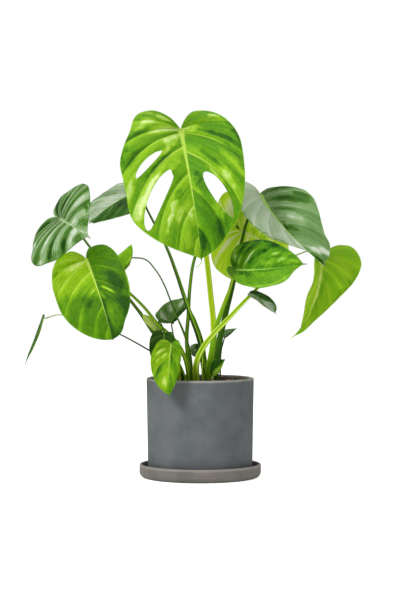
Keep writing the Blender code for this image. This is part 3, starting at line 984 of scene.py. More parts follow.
    def surface(self, add: Adder, shader: Node, own: NodeSocket, u: Node, near: Node, streak: Node,
            mottle: Node) -> None:
        """The wax's gloss, the sunken side veins and the fine net between them.

        Args:
            add: adds a node to the material.
            shader: its Principled shader.
            own: the piece's Object coordinates.
            u: the share from midrib to margin.
            near: how far the next side vein is, in counts.
            streak: the streak pattern.
            mottle: the mottle pattern.
        """
        skin = self.skin
        sunk = add("MapRange", (u, 0.15, 0.95, skin.groove, 0.0))
        groove = add("MapRange", (near, 0.0, 0.14, sunk, 0.0), **SOFT)
        net = add("TexVoronoi", {"Vector": own, "Scale": 1 / (NET_MM * MM)}, feature="DISTANCE_TO_EDGE")
        net = add("Math", (net, 0.25), operation="MINIMUM")
        grain = add("TexNoise", {"Vector": own, "Scale": 1 / (GRAIN_MM * MM), "Detail": 2.0})
        height = add("Math", (streak, skin.rib), operation="MULTIPLY")
        height = add("Math", (net, 0.8, height), operation="MULTIPLY_ADD")
        height = add("Math", (grain, 0.3, height), operation="MULTIPLY_ADD")
        height = add("Math", (height, groove), operation="SUBTRACT")
        bump = add("Bump", {"Strength": 1.0, "Distance": MM, "Height": height})
        rough = add("MapRange", (mottle, 0.3, 0.7, skin.roughness - 0.06, skin.roughness + 0.1))
        plug(shader, {"Normal": bump, "Roughness": rough, "IOR": 1.45, "Specular IOR Level": skin.wax})

    def under(self) -> Material:
        """The underside: matt and paler, with the veins raised and light.

        Returns:
            The material.
        """
        skin = self.skin
        material, add, shader = fresh_material(f"{skin.name}_{self.blade.name}_underside")
        veins = add("SeparateXYZ", (add("UVMap", uv_map="veins"),))
        u = add("Math", (veins.outputs[0],), operation="ABSOLUTE")
        near = add("Math", (veins.outputs[1], 0.5), operation="PINGPONG")
        own = add("TexCoord").outputs["Object"]
        # Mottling about 11 mm across.
        mottle = add("TexNoise", {"Vector": own, "Scale": 90.0, "Detail": 4.0})
        ramp = add("ValToRGB", (mottle,))
        set_stops(ramp, [(0.3, skin.body), (0.55, skin.under), (0.8, skin.light)])
        line = add("MapRange", (near, 0.012, 0.05, 0.7, 0.0), **SOFT)
        midrib = add("MapRange", (u, 0.015, 0.04, 1.0, 0.0), **SOFT)
        colour = ramp.outputs[0]
        for share, over in ((line, skin.vein), (midrib, skin.midrib)):
            colour = add("Mix", {0: share, 6: colour, 7: linear(over)}, data_type="RGBA").outputs[2]
        plug(shader, {"Base Color": colour})
        net = add("TexVoronoi", {"Vector": own, "Scale": 1 / (NET_MM * MM)}, feature="DISTANCE_TO_EDGE")
        bump = add("Bump", {"Strength": 0.3, "Distance": 0.6 * MM, "Height": net}, invert=True)
        plug(shader, {"Normal": bump, "Roughness": 0.55, "Specular IOR Level": 0.25})
        return material


@dataclass
class Tube:
    """A tapering tube along a path, closed at both ends.

    opens is the bearing that the stalk's groove faces, and sheath the share of the
    path that the two wings beside the groove run along.
    """

    name: str
    path: np.ndarray
    radii: np.ndarray
    sides: int = 20
    opens: float = 0.0
    sheath: float = 0.0
    wing: float = 0.45
    groove: float = 0.3

    def frames(self) -> tuple[np.ndarray, np.ndarray]:
        """Two unit directions across the path at each of its points.

        Returns:
            The direction that the groove faces and the one beside it.
        """
        ahead = np.gradient(self.path, axis=0)
        ahead /= np.linalg.norm(ahead, axis=1)[:, None]
        bearing = math.radians(self.opens)
        face = np.array([math.sin(bearing), -math.cos(bearing), 0.0])
        faces = []
        for direction in ahead:
            face = face - face.dot(direction) * direction
            face = face / np.linalg.norm(face)
            faces.append(face)
        faces = np.array(faces)
        return faces, np.cross(ahead, faces)

    def build(self) -> Object:
        """Wraps a grid into the tube and closes its seam and ends.

        Returns:
            The tube.
        """
        rings = len(self.path) - 1
        tube = grid_sheet(self.name, self.sides, rings)
        places = read_points(tube.data.vertices, "co")
        turn = (places[:, 0] + 1) / 2
        ring = ((places[:, 1] + 1) / 2 * rings).round().astype(int)
        share = ring / rings
        self.lay_uv(tube, turn, share)
        angle = 2 * math.pi * turn - math.pi
        faces, acrosses = self.frames()
        radius = self.radii[ring]
        if self.sheath > 0:
            part = 1 - smooth(share, self.sheath - 0.05, self.sheath + 0.01)
            wings = np.exp(-(((np.abs(angle) - WING_AT) / WING_SPREAD) ** 2))
            trough = np.exp(-((angle / GROOVE_SPREAD) ** 2))
            radius = radius * (1 + part * (self.wing * wings - self.groove * trough))
        points = self.path[ring]
        points = points + (radius * np.cos(angle))[:, None] * faces[ring]
        points = points - (radius * np.sin(angle))[:, None] * acrosses[ring]
        place_vertices(tube, points)
        weld(tube, 0.01, caps=True)
        bpy.ops.object.shade_smooth_by_angle(angle=math.radians(60))
        return tube

    def lay_uv(self, tube: Object, turn: np.ndarray, share: np.ndarray) -> None:
        """Stores the turn round the tube and the share along it as its UV map.

        Args:
            tube: the grid, before it is shaped.
            turn: each vertex's share of the turn.
            share: its share of the length.
        """
        mesh = tube.data
        corner = fresh_corners(mesh)
        values = np.stack([turn[corner], share[corner]], -1)
        mesh.uv_layers.new(name="length").data.foreach_set("uv", values.ravel())


@dataclass(frozen=True)
class StalkSkin:
    """A smooth fleshy leaf stalk, with a groove and the thin wings of its sheath.

    foot, body and top are the skin from the mix up. wing is the sheath's bright rim,
    partly a painted highlight along the wings' edges. groove is the colour painted in
    the channel between the wings: painted shade on all but the winged stalk, where it
    is a pale strip.
    """

    name: str
    foot: str
    body: str
    top: str
    wing: str
    groove: str

    def paint(self, piece: str, sheath: float) -> Material:
        """The stalk's material.

        Args:
            piece: the piece's name.
            sheath: the share of the stalk that the sheath's pale rims run up.

        Returns:
            The material.
        """
        material, add, shader = fresh_material(f"{self.name}_{piece}")
        place = add("UVMap", uv_map="length")
        part = add("SeparateXYZ", (place.outputs[0],))
        turn, along = part.outputs[0], part.outputs[1]
        own = add("TexCoord").outputs["Object"]
        # Long fibres show as fine streaks, about 1 mm wide and 12 mm long.
        streak = add("Mapping", {"Vector": own, "Scale": (900.0, 900.0, 80.0)})
        fibre = add("TexNoise", {"Vector": streak, "Scale": 1.0, "Detail": 3.0})
        place = add("Math", (fibre, 0.3, along), operation="MULTIPLY_ADD")
        ramp = add("ValToRGB", (place,))
        set_stops(ramp, [(0.1, self.foot), (0.3, self.body), (0.75, self.body), (1.0, self.top)])
        # The channel between the wings gets painted shade on most stalks, and the wing rims a bright
        # line that is partly a painted highlight.
        off = add("Math", (turn, 0.5), operation="SUBTRACT")
        off = add("Math", (off,), operation="ABSOLUTE")
        rim = add("Math", (off, WING_TURN), operation="SUBTRACT")
        rim = add("Math", (rim,), operation="ABSOLUTE")
        rim = add("MapRange", (rim, 0.01, 0.045, 0.9, 0.0), **SOFT)
        risen = add("MapRange", (along, 0.05, 0.14, 0.2, 1.0))
        ended = add("MapRange", (along, sheath, sheath + 0.12, 1.0, 0.2))
        rim = add("Math", (rim, risen), operation="MULTIPLY")
        rim = add("Math", (rim, ended), operation="MULTIPLY")
        channel = add("MapRange", (off, 0.03, 0.11, 0.7, 0.0), **SOFT)
        colour = ramp.outputs[0]
        for share, over in ((channel, self.groove), (rim, self.wing)):
            colour = add("Mix", {0: share, 6: colour, 7: linear(over)}, data_type="RGBA").outputs[2]
        plug(shader, {"Base Color": colour})
        bump = add("Bump", {"Strength": 0.25, "Distance": 0.4 * MM, "Height": fibre})
        plug(shader, {"Normal": bump, "Roughness": 0.42, "IOR": 1.45, "Specular IOR Level": 0.1})
        return material


class StalkTone(Enum):
    """The kinds of stalk on the plant."""

    BRIGHT = StalkSkin("bright_fleshy_stalk", foot="7C9418", body="A8CE1E", top="A9D428", wing="DDF26A",
        groove="6C9612")
    LIME = StalkSkin("lime_fleshy_stalk", foot="8FB01A", body="C2E01A", top="BEDC2C", wing="DAF05A",
        groove="A6C81A")
    GREEN = StalkSkin("green_fleshy_stalk", foot="1C4A0C", body="7AAC14", top="A2C626", wing="C0E03A",
        groove="3E640C")
    DARK = StalkSkin("dark_fleshy_stalk", foot="1A480A", body="345E04", top="446C08", wing="8EBE2A",
        groove="143206")
    WINGED = StalkSkin("winged_dark_stalk", foot="3A400A", body="2C4E02", top="3A5404", wing="A6D83A",
        groove="84BC1E")
    THREAD = StalkSkin("thin_dull_stalk", foot="42541E", body="4E5E26", top="BCC87A", wing="6C7C3A",
        groove="3E4E1C")
    BROWN = StalkSkin("brown_dry_sheath", foot="3B2A14", body="4A3A1A", top="5A5224", wing="7A5A2A",
        groove="2F2410")


@dataclass
class Stalk:
    """A leaf stalk, from its hole in the mix to its blade's base.

    root is the middle of its hole, route the points that it passes on its way up,
    and opens the bearing that its groove faces. sheath is the share of the stalk
    that the sheath runs up. knee is the share by which it swells where it bends
    under the blade, knee_below how far down that is and knee_reach how far it goes.
    """

    blade: Blade
    tone: StalkTone
    root: tuple[float, float]
    route: tuple[tuple[float, float, float], ...]
    foot_radius: float
    top_radius: float
    opens: float = 0.0
    sheath: float = 0.45
    wing: float = 0.45
    step: float = 2.6
    knee: float = 0.14
    knee_below: float = 7.0
    knee_reach: float = 6.0

    def end(self, previous: tuple[float, float, float]) -> tuple[float, float, float]:
        """Where the stalk stops, just under the blade's base.

        Args:
            previous: the last point of its route.

        Returns:
            The end point.
        """
        normal = self.blade.axes()[3]
        base = np.asarray(self.blade.base, float)
        heading = base - np.asarray(previous, float)
        heading /= np.linalg.norm(heading)
        slant = math.sqrt(max(0.0, 1 - float(heading.dot(normal)) ** 2))
        return tuple(base - normal * (0.5 + self.top_radius * slant))

    def centre_line(self) -> tuple[np.ndarray, np.ndarray]:
        """The stalk's path, drawn as a curve and read back, and its radii.

        Returns:
            Even points in millimetres and the radius at each.
        """
        surface = mix_height(math.hypot(*self.root))
        knots = [(*self.root, surface - STALK_DEPTH), (*self.root, surface + STALK_UPRIGHT)]
        knots += list(self.route)
        knots.append(self.end(knots[-1]))
        only()
        bpy.ops.curve.primitive_bezier_curve_add()
        curve = bpy.context.object
        spline = curve.data.splines[0]
        spline.bezier_points.add(len(knots) - 2)
        for point, knot in zip(spline.bezier_points, knots):
            point.co = Vector(knot) * MM
            point.handle_left_type = "AUTO"
            point.handle_right_type = "AUTO"
        spline.bezier_points[1].handle_left_type = "VECTOR"
        curve.data.resolution_u = 24
        only(curve)
        bpy.ops.object.convert(target="MESH")
        line = bpy.context.object
        raw = read_points(line.data.vertices, "co") / MM
        bpy.data.objects.remove(line)
        run = np.concatenate([[0], np.cumsum(np.linalg.norm(np.diff(raw, axis=0), axis=1))])
        count = max(8, round(run[-1] / self.step))
        even = np.linspace(0, run[-1], count + 1)
        path = np.stack([np.interp(even, run, raw[:, i]) for i in range(3)], -1)
        legs = [math.dist(a, b) for a, b in zip(knots, knots[1:])]
        knot_share = np.concatenate([[0], np.cumsum(legs)]) / sum(legs)
        thinned = np.minimum(1, knot_share * 1.15)
        knot_radius = self.foot_radius + (self.top_radius - self.foot_radius) * thinned
        knot_radius[1] = self.foot_radius
        radii = np.interp(even / run[-1], knot_share, knot_radius)
        swell = self.knee * np.exp(-(((even[-1] - even) - self.knee_below) / self.knee_reach) ** 2)
        return path, radii * (1 + swell)

    def build(self) -> Object:
        """Builds the stalk as a grooved, winged tube.

        Returns:
            The stalk.
        """
        path, radii = self.centre_line()
        return Tube(name=f"petiole_{self.blade.name}", path=path, radii=radii,
            sides=20 if self.foot_radius > 2 else 14, opens=self.opens, sheath=self.sheath,
            wing=self.wing).build()

    def dress(self, stalk: Object) -> None:
        """Paints the stalk and puts it on the frame."""
        stalk.data.materials.append(self.tone.value.paint(self.blade.name, self.sheath))
        adopt(stalk, "stalk", f"stalk_{self.blade.name}")


@dataclass(frozen=True)
class Stoneware:
    """Unglazed stoneware: fired clay, thrown and sponged, matt with a fine grit.

    The rims are painted paler from a set height up: a painted highlight along the lip.
    """

    name: str
    body: str
    dark: str
    light: str
    rim_highlight: str
    rim_highlight_from: float
    roughness: float = 0.72

    def paint(self) -> Material:
        """The material, patterned on Object coordinates.

        Returns:
            The material.
        """
        material, add, shader = fresh_material(self.name)
        own = add("TexCoord").outputs["Object"]
        # Clouds about 36 mm across, from the sponge.
        cloud = add("TexNoise", {"Vector": own, "Scale": 28.0, "Detail": 5.0, "Roughness": 0.6})
        ramp = add("ValToRGB", (cloud,))
        set_stops(ramp, [(0.3, self.dark), (0.5, self.body), (0.72, self.light)])
        # Grit of about 0.8 mm, as in a coarse throwing clay.
        grit = add("TexNoise", {"Vector": own, "Scale": 1250.0, "Detail": 1.0})
        speck = add("MapRange", (grit, 0.62, 0.72, 0.0, 0.35), **SOFT)
        # A painted highlight along the rim, from a set height up, with a ragged lower line.
        height = add("SeparateXYZ", (own,)).outputs[2]
        ragged = add("Math", (cloud, 0.004, height), operation="MULTIPLY_ADD")
        start = self.rim_highlight_from * MM
        rim_highlight = add("MapRange", (ragged, start + 0.002, start + 0.0035, 0.0, 0.75), **SOFT)
        colour = ramp.outputs[0]
        for share, over in ((speck, self.light), (rim_highlight, self.rim_highlight)):
            colour = add("Mix", {0: share, 6: colour, 7: linear(over)}, data_type="RGBA").outputs[2]
        plug(shader, {"Base Color": colour})
        relief = add("Math", (cloud, 1.5, grit), operation="MULTIPLY_ADD")
        bump = add("Bump", {"Strength": 0.22, "Distance": 0.35 * MM, "Height": relief})
        plug(shader, {"Normal": bump, "Roughness": self.roughness, "IOR": 1.5,
            "Specular IOR Level": 0.35})
        return material


class Clay(Enum):
    """The two clays."""

    CHARCOAL = Stoneware("charcoal_stoneware", body="63686A", dark="585D5F", light="6E7272",
        rim_highlight="9C9D95", rim_highlight_from=135.2)
    TAUPE = Stoneware("taupe_stoneware", body="77736C", dark="6A665F", light="857F76", rim_highlight="96908A",
        rim_highlight_from=15.0, roughness=0.62)


@dataclass
class Dish:
    """A round dish turned from a cylinder: the shape that pot and saucer share."""

    name: str
    slot: str
    node: str
    clay: Clay
    low: float
    high: float
    foot_radius: float
    top_radius: float
    wall: float
    floor: float
    corner: float
    inner_corner: float
    lip: float
    drain: float = 0.0
    sides: int = 144

    def edges_at(self, dish: Object, radius: float, z: float) -> None:
        """Selects the ring of edges at a radius and a height.

        Args:
            dish: the dish, in edit mode.
            radius: the ring's radius.
            z: its height.
        """
        bpy.ops.mesh.select_all(action="DESELECT")
        bpy.ops.object.mode_set(mode="OBJECT")
        mesh = dish.data

        def lies_on(index: int) -> bool:
            """Whether a vertex lies on the ring."""
            co = mesh.vertices[index].co / MM
            return abs(math.hypot(co.x, co.y) - radius) < 0.3 and abs(co.z - z) < 0.2

        for edge in mesh.edges:
            edge.select = all(lies_on(i) for i in edge.vertices)
        bpy.ops.object.mode_set(mode="EDIT")

    def faces_at(self, dish: Object, z: float, up: float) -> None:
        """Selects the flat faces at a height that look up (1) or down (-1).

        Args:
            dish: the dish, in edit mode.
            z: the height.
            up: 1 or -1.
        """
        bpy.ops.mesh.select_all(action="DESELECT")
        bpy.ops.object.mode_set(mode="OBJECT")
        for face in dish.data.polygons:
            face.select = face.normal.z * up > 0.9 and abs(face.center.z / MM - z) < 0.2
        bpy.ops.object.mode_set(mode="EDIT")

    def round_ring(self, dish: Object, radius: float, z: float, size: float, steps: int) -> None:
        """Bevels one ring of edges.

        Args:
            dish: the dish, in edit mode.
            radius: the ring's radius.
            z: its height.
            size: the bevel's radius.
            steps: its segments.
        """
        bpy.ops.mesh.select_mode(type="EDGE")
        self.edges_at(dish, radius, z)
        bpy.ops.mesh.bevel(offset=size * MM, offset_type="OFFSET", segments=steps, affect="EDGES")

    def build(self) -> Object:
        """Insets, sinks and rounds a cylinder into the dish.

        Returns:
            The dish.
        """
        only()
        bpy.ops.mesh.primitive_cylinder_add(vertices=self.sides, radius=self.top_radius * MM,
            depth=(self.high - self.low) * MM, location=(0, 0, (self.high + self.low) / 2 * MM))
        dish = bpy.context.object
        dish.name = self.name
        bpy.ops.object.transform_apply(location=True)
        bpy.ops.object.mode_set(mode="EDIT")
        bpy.ops.mesh.select_mode(type="FACE")
        self.faces_at(dish, self.high, 1)
        bpy.ops.mesh.inset(thickness=self.wall * MM)
        sink = self.floor - self.high
        bpy.ops.mesh.extrude_region_move(TRANSFORM_OT_translate={"value": (0, 0, sink * MM)})
        self.taper(dish)
        if self.drain:
            self.open_drain(dish)
        inner = self.top_radius - self.wall
        self.round_ring(dish, self.radius_at(self.low), self.low, self.corner, 8)
        self.round_ring(dish, self.radius_at(self.floor) - self.wall, self.floor, self.inner_corner, 4)
        self.round_ring(dish, self.top_radius, self.high, self.lip, 5)
        self.round_ring(dish, inner, self.high, self.lip, 5)
        bpy.ops.object.mode_set(mode="OBJECT")
        bpy.ops.object.shade_smooth_by_angle(angle=math.radians(35))
        return dish

    def radius_at(self, z: float) -> float:
        """The outer radius at a height."""
        share = (z - self.low) / (self.high - self.low)
        return self.foot_radius + share * (self.top_radius - self.foot_radius)

    def taper(self, dish: Object) -> None:
        """Draws the lower rings in, so that the wall slopes to the foot.

        Args:
            dish: the dish, in edit mode.
        """
        bpy.ops.object.mode_set(mode="OBJECT")
        for vertex in dish.data.vertices:
            z = vertex.co.z / MM
            lost = self.top_radius - self.radius_at(z)
            radius = math.hypot(vertex.co.x, vertex.co.y) / MM
            if radius > 1:
                vertex.co.x *= (radius - lost) / radius
                vertex.co.y *= (radius - lost) / radius
        bpy.ops.object.mode_set(mode="EDIT")

    def open_drain(self, dish: Object) -> None:
        """Cuts the drain hole through the floor.

        Args:
            dish: the dish, in edit mode.
        """
        bpy.ops.mesh.select_mode(type="FACE")
        for z, up in ((self.floor, 1), (self.low, -1)):
            self.faces_at(dish, z, up)
            rim = self.radius_at(z) - (self.wall if up > 0 else 0)
            bpy.ops.mesh.inset(thickness=(rim - self.drain) * MM)
        bpy.ops.object.mode_set(mode="OBJECT")
        for face in dish.data.polygons:
            reach = max(math.hypot(*dish.data.vertices[i].co.xy) for i in face.vertices)
            face.select = reach < (self.drain + 0.5) * MM
        bpy.ops.object.mode_set(mode="EDIT")
        bpy.ops.mesh.delete(type="FACE")
        bpy.ops.mesh.select_mode(type="EDGE")
        bpy.ops.mesh.select_all(action="DESELECT")
        bpy.ops.mesh.select_non_manifold()
        bpy.ops.mesh.bridge_edge_loops()

    def dress(self, dish: Object) -> None:
        """Paints the dish and puts it on the frame.

        Args:
            dish: the finished dish.
        """
        dish.data.materials.clear()
        dish.data.materials.append(self.clay.value.paint())
        adopt(dish, self.slot, self.node)


@dataclass
class PottingMix:
    """The mix that fills the pot: dark peat and fine bark, crumbly on top.

    heaped is how much higher the loose crumb lies near the wall than the settled
    mix, and side_rings the rings that run down the side and under. Chips and grit
    are strewn out to a radius of strewn.
    """

    rough: float = 1.6
    heaped: float = 4.6
    spokes: int = 120
    rings: int = 44
    side_rings: int = 6
    chips: int = 130
    grit: int = 40
    strewn: float = 66.0
    keep_clear: tuple[tuple[float, float, float], ...] = ()
    seed: int = 7
    parts: list[Object] = field(default_factory=list)

    def top_radius(self) -> float:
        """The radius of the mix where it meets the wall."""
        return POT_RADIUS - POT_WALL - SEAT_GAP - 0.1

    def height(self, x: float, y: float) -> float:
        """The height of the crumbly surface.

        Args:
            x: the place in X.
            y: the place in Y.

        Returns:
            The height in millimetres.
        """
        radius = math.hypot(x, y)
        lumps = noise.fractal(Vector((x, y, 3.0)) / 9.0, 0.8, 2.1, 4)
        grains = noise.noise(Vector((x, y, 9.0)) / 2.2)
        # It is smoother by the wall, and loose crumb lies heaped from 20 mm out.
        fade = 1 - 0.6 * float(smooth(np.array(radius), 60.0, 69.0))
        loose = self.heaped * float(smooth(np.array(radius), 20.0, 55.0))
        return mix_height(radius) - 0.4 + loose + (self.rough * lumps + 0.7 * grains) * fade

    def build(self) -> None:
        """Builds the body of the mix, its chips of bark and its pale grit."""
        body = grid_sheet("mix_crumb", self.spokes, self.rings)
        places = read_points(body.data.vertices, "co")
        angle = (places[:, 0] + 1) * math.pi
        share = (places[:, 1] + 1) / 2
        top = self.rings - self.side_rings
        ring = (share * self.rings).round()
        reach = self.top_radius()
        bottom = SAUCER_FLOOR + SEAT_GAP + POT_FLOOR + SEAT_GAP
        points = np.zeros((len(angle), 3))
        for index, (a, r) in enumerate(zip(angle, ring)):
            inward = min(r / top, 1.0)
            radius = reach * inward
            x, y = radius * math.cos(a), radius * math.sin(a)
            z = self.height(x, y)
            if r > top:
                # The side drops over two thirds of its rings, and the last ring closes it.
                down = (r - top) / (self.rings - top)
                z = z + (bottom - z) * min(down * 1.5, 1.0)
                radius = (reach - 2.2 * min(down * 1.5, 1.0)) * (1 if down < 0.9 else 0.0)
                x, y = radius * math.cos(a), radius * math.sin(a)
            points[index] = (x, y, z)
        place_vertices(body, points)
        weld(body, 0.02)
        bpy.ops.object.shade_smooth_by_angle(angle=math.radians(60))
        self.parts = [body, self.scatter("bark_chips", self.chips, 2.2, 6.5, (1.0, 0.62, 0.3))]
        self.parts.append(self.scatter("mix_grit", self.grit, 1.0, 2.0, (1.0, 0.9, 0.8)))

    def chip(self) -> Object:
        """One chip: a cube of size 1 with its corners knocked off.

        Returns:
            The chip.
        """
        only()
        bpy.ops.mesh.primitive_cube_add(size=1.0)
        chip = bpy.context.object
        bpy.ops.object.mode_set(mode="EDIT")
        bpy.ops.mesh.select_all(action="SELECT")
        bpy.ops.mesh.bevel(offset=0.16, segments=1, affect="EDGES")
        bpy.ops.object.mode_set(mode="OBJECT")
        return chip

    def scatter(self, name: str, count: int, small: float, large: float,
            shape: tuple[float, float, float]) -> Object:
        """Lays copies of one chip on the mix and joins them.

        Args:
            name: the piece's name.
            count: how many are laid.
            small: the smallest length.
            large: the largest length.
            shape: length, width and height as shares of the length.

        Returns:
            The joined piece.
        """
        draw = random.Random(self.seed + count)
        first = self.chip()
        copies = []
        while len(copies) < count:
            radius = self.strewn * math.sqrt(draw.random())
            bearing = draw.uniform(0, 2 * math.pi)
            x, y = radius * math.cos(bearing), radius * math.sin(bearing)
            size = draw.uniform(small, large) * draw.uniform(0.6, 1.0)
            turn = [draw.uniform(-0.35, 0.35), draw.uniform(-0.35, 0.35), draw.uniform(0, math.pi)]
            jitter = [draw.uniform(0.75, 1.25) for _ in range(3)]
            tint = draw.random()
            if any(math.hypot(x - cx, y - cy) < r + size * 0.6 for cx, cy, r in self.keep_clear):
                continue
            copy = first.copy()
            copy.data = first.data.copy()
            bpy.context.collection.objects.link(copy)
            copy.scale = [size * s * j * MM for s, j in zip(shape, jitter)]
            copy.rotation_euler = turn
            copy.location = (x * MM, y * MM, (self.height(x, y) + size * 0.08) * MM)
            layer = copy.data.uv_layers[0]
            layer.data.foreach_set("uv", [tint, 0.5] * len(copy.data.loops))
            copies.append(copy)
        bpy.data.objects.remove(first)
        only(*copies)
        bpy.ops.object.transform_apply(location=True, rotation=True, scale=True)
        bpy.ops.object.join()
        piece = bpy.context.object
        piece.name = name
        piece.data.uv_layers[0].name = "tint"
        return piece

    def dress(self) -> None:
        """Paints the mix, the bark and the grit."""
        body, bark, grit = self.parts
        body.data.materials.append(self.peat())
        adopt(body, "potting_mix", "potting_mix")
        # Composted bark is matt, fibrous and brown, and crushed grit a dull pale stone.
        # Each chip has its own shade.
        for piece, name, colours in (
            (bark, "composted_bark", ["1A0F08", "4A2810", "8A4A1E", "B4763A"]),
            (grit, "pale_grit", ["5A5240", "8C8570", "B9B4A2", "4A4030"]),
        ):
            piece.data.materials.append(self.shaded(name, colours))
            adopt(piece, "potting_mix")

    def peat(self) -> Material:
        """Damp peat: near black, with brown fibres and crumbs of 1 to 3 mm.

        Returns:
            The material.
        """
        material, add, shader = fresh_material("damp_peat")
        own = add("TexCoord").outputs["Object"]
        # Crumbs of about 2.4 mm.
        crumbs = add("TexVoronoi", {"Vector": own, "Scale": 420.0}).outputs["Color"]
        shade = add("SeparateColor", (crumbs,))
        ramp = add("ValToRGB", (shade,))
        set_stops(ramp, [(0.0, "120C07"), (0.55, "24180E"), (0.85, "3C2816"), (1.0, "5A3A1E")])
        plug(shader, {"Base Color": ramp})
        bump = add("Bump", {"Strength": 0.8, "Distance": 1.0 * MM, "Height": shade})
        plug(shader, {"Normal": bump, "Roughness": 0.9})
        return material

    def shaded(self, name: str, colours: list[str]) -> Material:
        """A material that gives each chip its own shade.

        Args:
            name: the material's name.
            colours: four colours, for chips from first to last.

        Returns:
            The material.
        """
        material, add, shader = fresh_material(name)
        tint = add("UVMap", uv_map="tint")
        part = add("SeparateXYZ", (tint.outputs[0],))
        own = add("TexCoord").outputs["Object"]
        # Grain of about 1 mm.
        grain = add("TexNoise", {"Vector": own, "Scale": 900.0, "Detail": 3.0})
        place = add("Math", (grain, 0.5, part), operation="MULTIPLY_ADD")
        ramp = add("ValToRGB", (place,))
        places = [0.2, 0.55, 0.85, 1.0]
        set_stops(ramp, list(zip(places, colours)))
        plug(shader, {"Base Color": ramp})
        bump = add("Bump", {"Strength": 0.6, "Distance": 0.5 * MM, "Height": grain})
        plug(shader, {"Normal": bump, "Roughness": 0.8})
        return material


@dataclass
class Studio:
    """A white sweep, soft lights and the camera."""

    camera_place: tuple[float, float, float] = (0.42, -2600.0, 306.0)
    pitch: float = 1.307
    focal_px: float = 1863.0
    image_height: int = 601
    floor_radius: float = 40.0

    def floor(self) -> None:
        """A plain near-white floor."""
        only()
        bpy.ops.mesh.primitive_circle_add(vertices=96, radius=self.floor_radius, fill_type="NGON")
        floor = bpy.context.object
        floor.name = "floor"
        # White paper is matt, and glows a little for the camera alone, as lit paper does.
        material, add, shader = fresh_material("white_paper")
        plug(shader, {"Base Color": linear("F4F4F4"), "Roughness": 0.9, "Specular IOR Level": 0.1})
        ray = add("LightPath").outputs["Is Camera Ray"]
        glow = add("Math", (ray, 0.75), operation="MULTIPLY")
        plug(shader, {"Emission Color": linear("FFFFFF"), "Emission Strength": glow})
        floor.data.materials.append(material)

    def softbox(self, name: str, place: tuple[float, float, float], aim: tuple[float, float, float],
            size: float, power: float) -> None:
        """Hangs one soft light.

        Args:
            name: its name.
            place: where it is, in metres.
            aim: the point that it faces, in metres.
            size: its side, in metres.
            power: its power in watts.
        """
        light = bpy.data.lights.new(name, "AREA")
        light.shape = "SQUARE"
        light.size = size
        light.energy = power
        lamp = bpy.data.objects.new(name, light)
        bpy.context.collection.objects.link(lamp)
        lamp.location = place
        lamp.rotation_euler = (Vector(aim) - Vector(place)).to_track_quat("-Z", "Y").to_euler()

    def let_past(self, light: str, leaf: str) -> None:
        """Keeps a leaf's shadow from one light, as a card held behind it would.

        Args:
            light: the light's name.
            leaf: the leaf's name.
        """
        held = bpy.data.collections.new(f"{leaf}_unshaded")
        held.objects.link(bpy.data.objects[leaf])
        held.collection_objects[0].light_linking.link_state = "EXCLUDE"
        bpy.data.objects[light].light_linking.blocker_collection = held

    def world(self) -> None:
        """An even white tent: the view sees it white, and it fills at part strength."""
        world = bpy.data.worlds.new("white_tent")
        world.use_nodes = True
        bpy.context.scene.world = world
        tree = world.node_tree
        back = tree.nodes["Background"]
        ray = add_node(tree, "LightPath").outputs["Is Camera Ray"]
        strength = add_node(tree, "MapRange", (ray, 0.0, 1.0, 0.32, 1.0))
        plug(back, ((1.0, 1.0, 1.0, 1.0), strength))

    def camera(self) -> None:
        """The camera, low and far, as a catalogue picture is taken."""
        data = bpy.data.cameras.new("camera")
        data.sensor_width = 36.0
        data.lens = 36.0 * self.focal_px / self.image_height
        data.clip_end = 200.0
        camera = bpy.data.objects.new("camera", data)
        bpy.context.collection.objects.link(camera)
        camera.location = Vector(self.camera_place) * MM
        camera.rotation_euler = (math.radians(90 - self.pitch), 0, 0)
        bpy.context.scene.camera = camera

    def build(self) -> None:
        """Sets the whole studio up."""
        self.floor()
        self.world()
        self.softbox("key", (-1.5, -1.6, 1.8), (0.0, 0.0, 0.28), 0.8, 44.0)
        self.let_past("key", "leaf_upper_left")
        self.softbox("overhead", (0.1, 0.3, 2.2), (0.0, 0.0, 0.3), 2.6, 28.0)
        self.softbox("fill", (1.8, -1.6, 0.8), (0.0, 0.0, 0.25), 1.2, 6.0)
        self.camera()
        view = bpy.context.scene.view_settings
        view.view_transform = "Standard"
        view.look = "None"


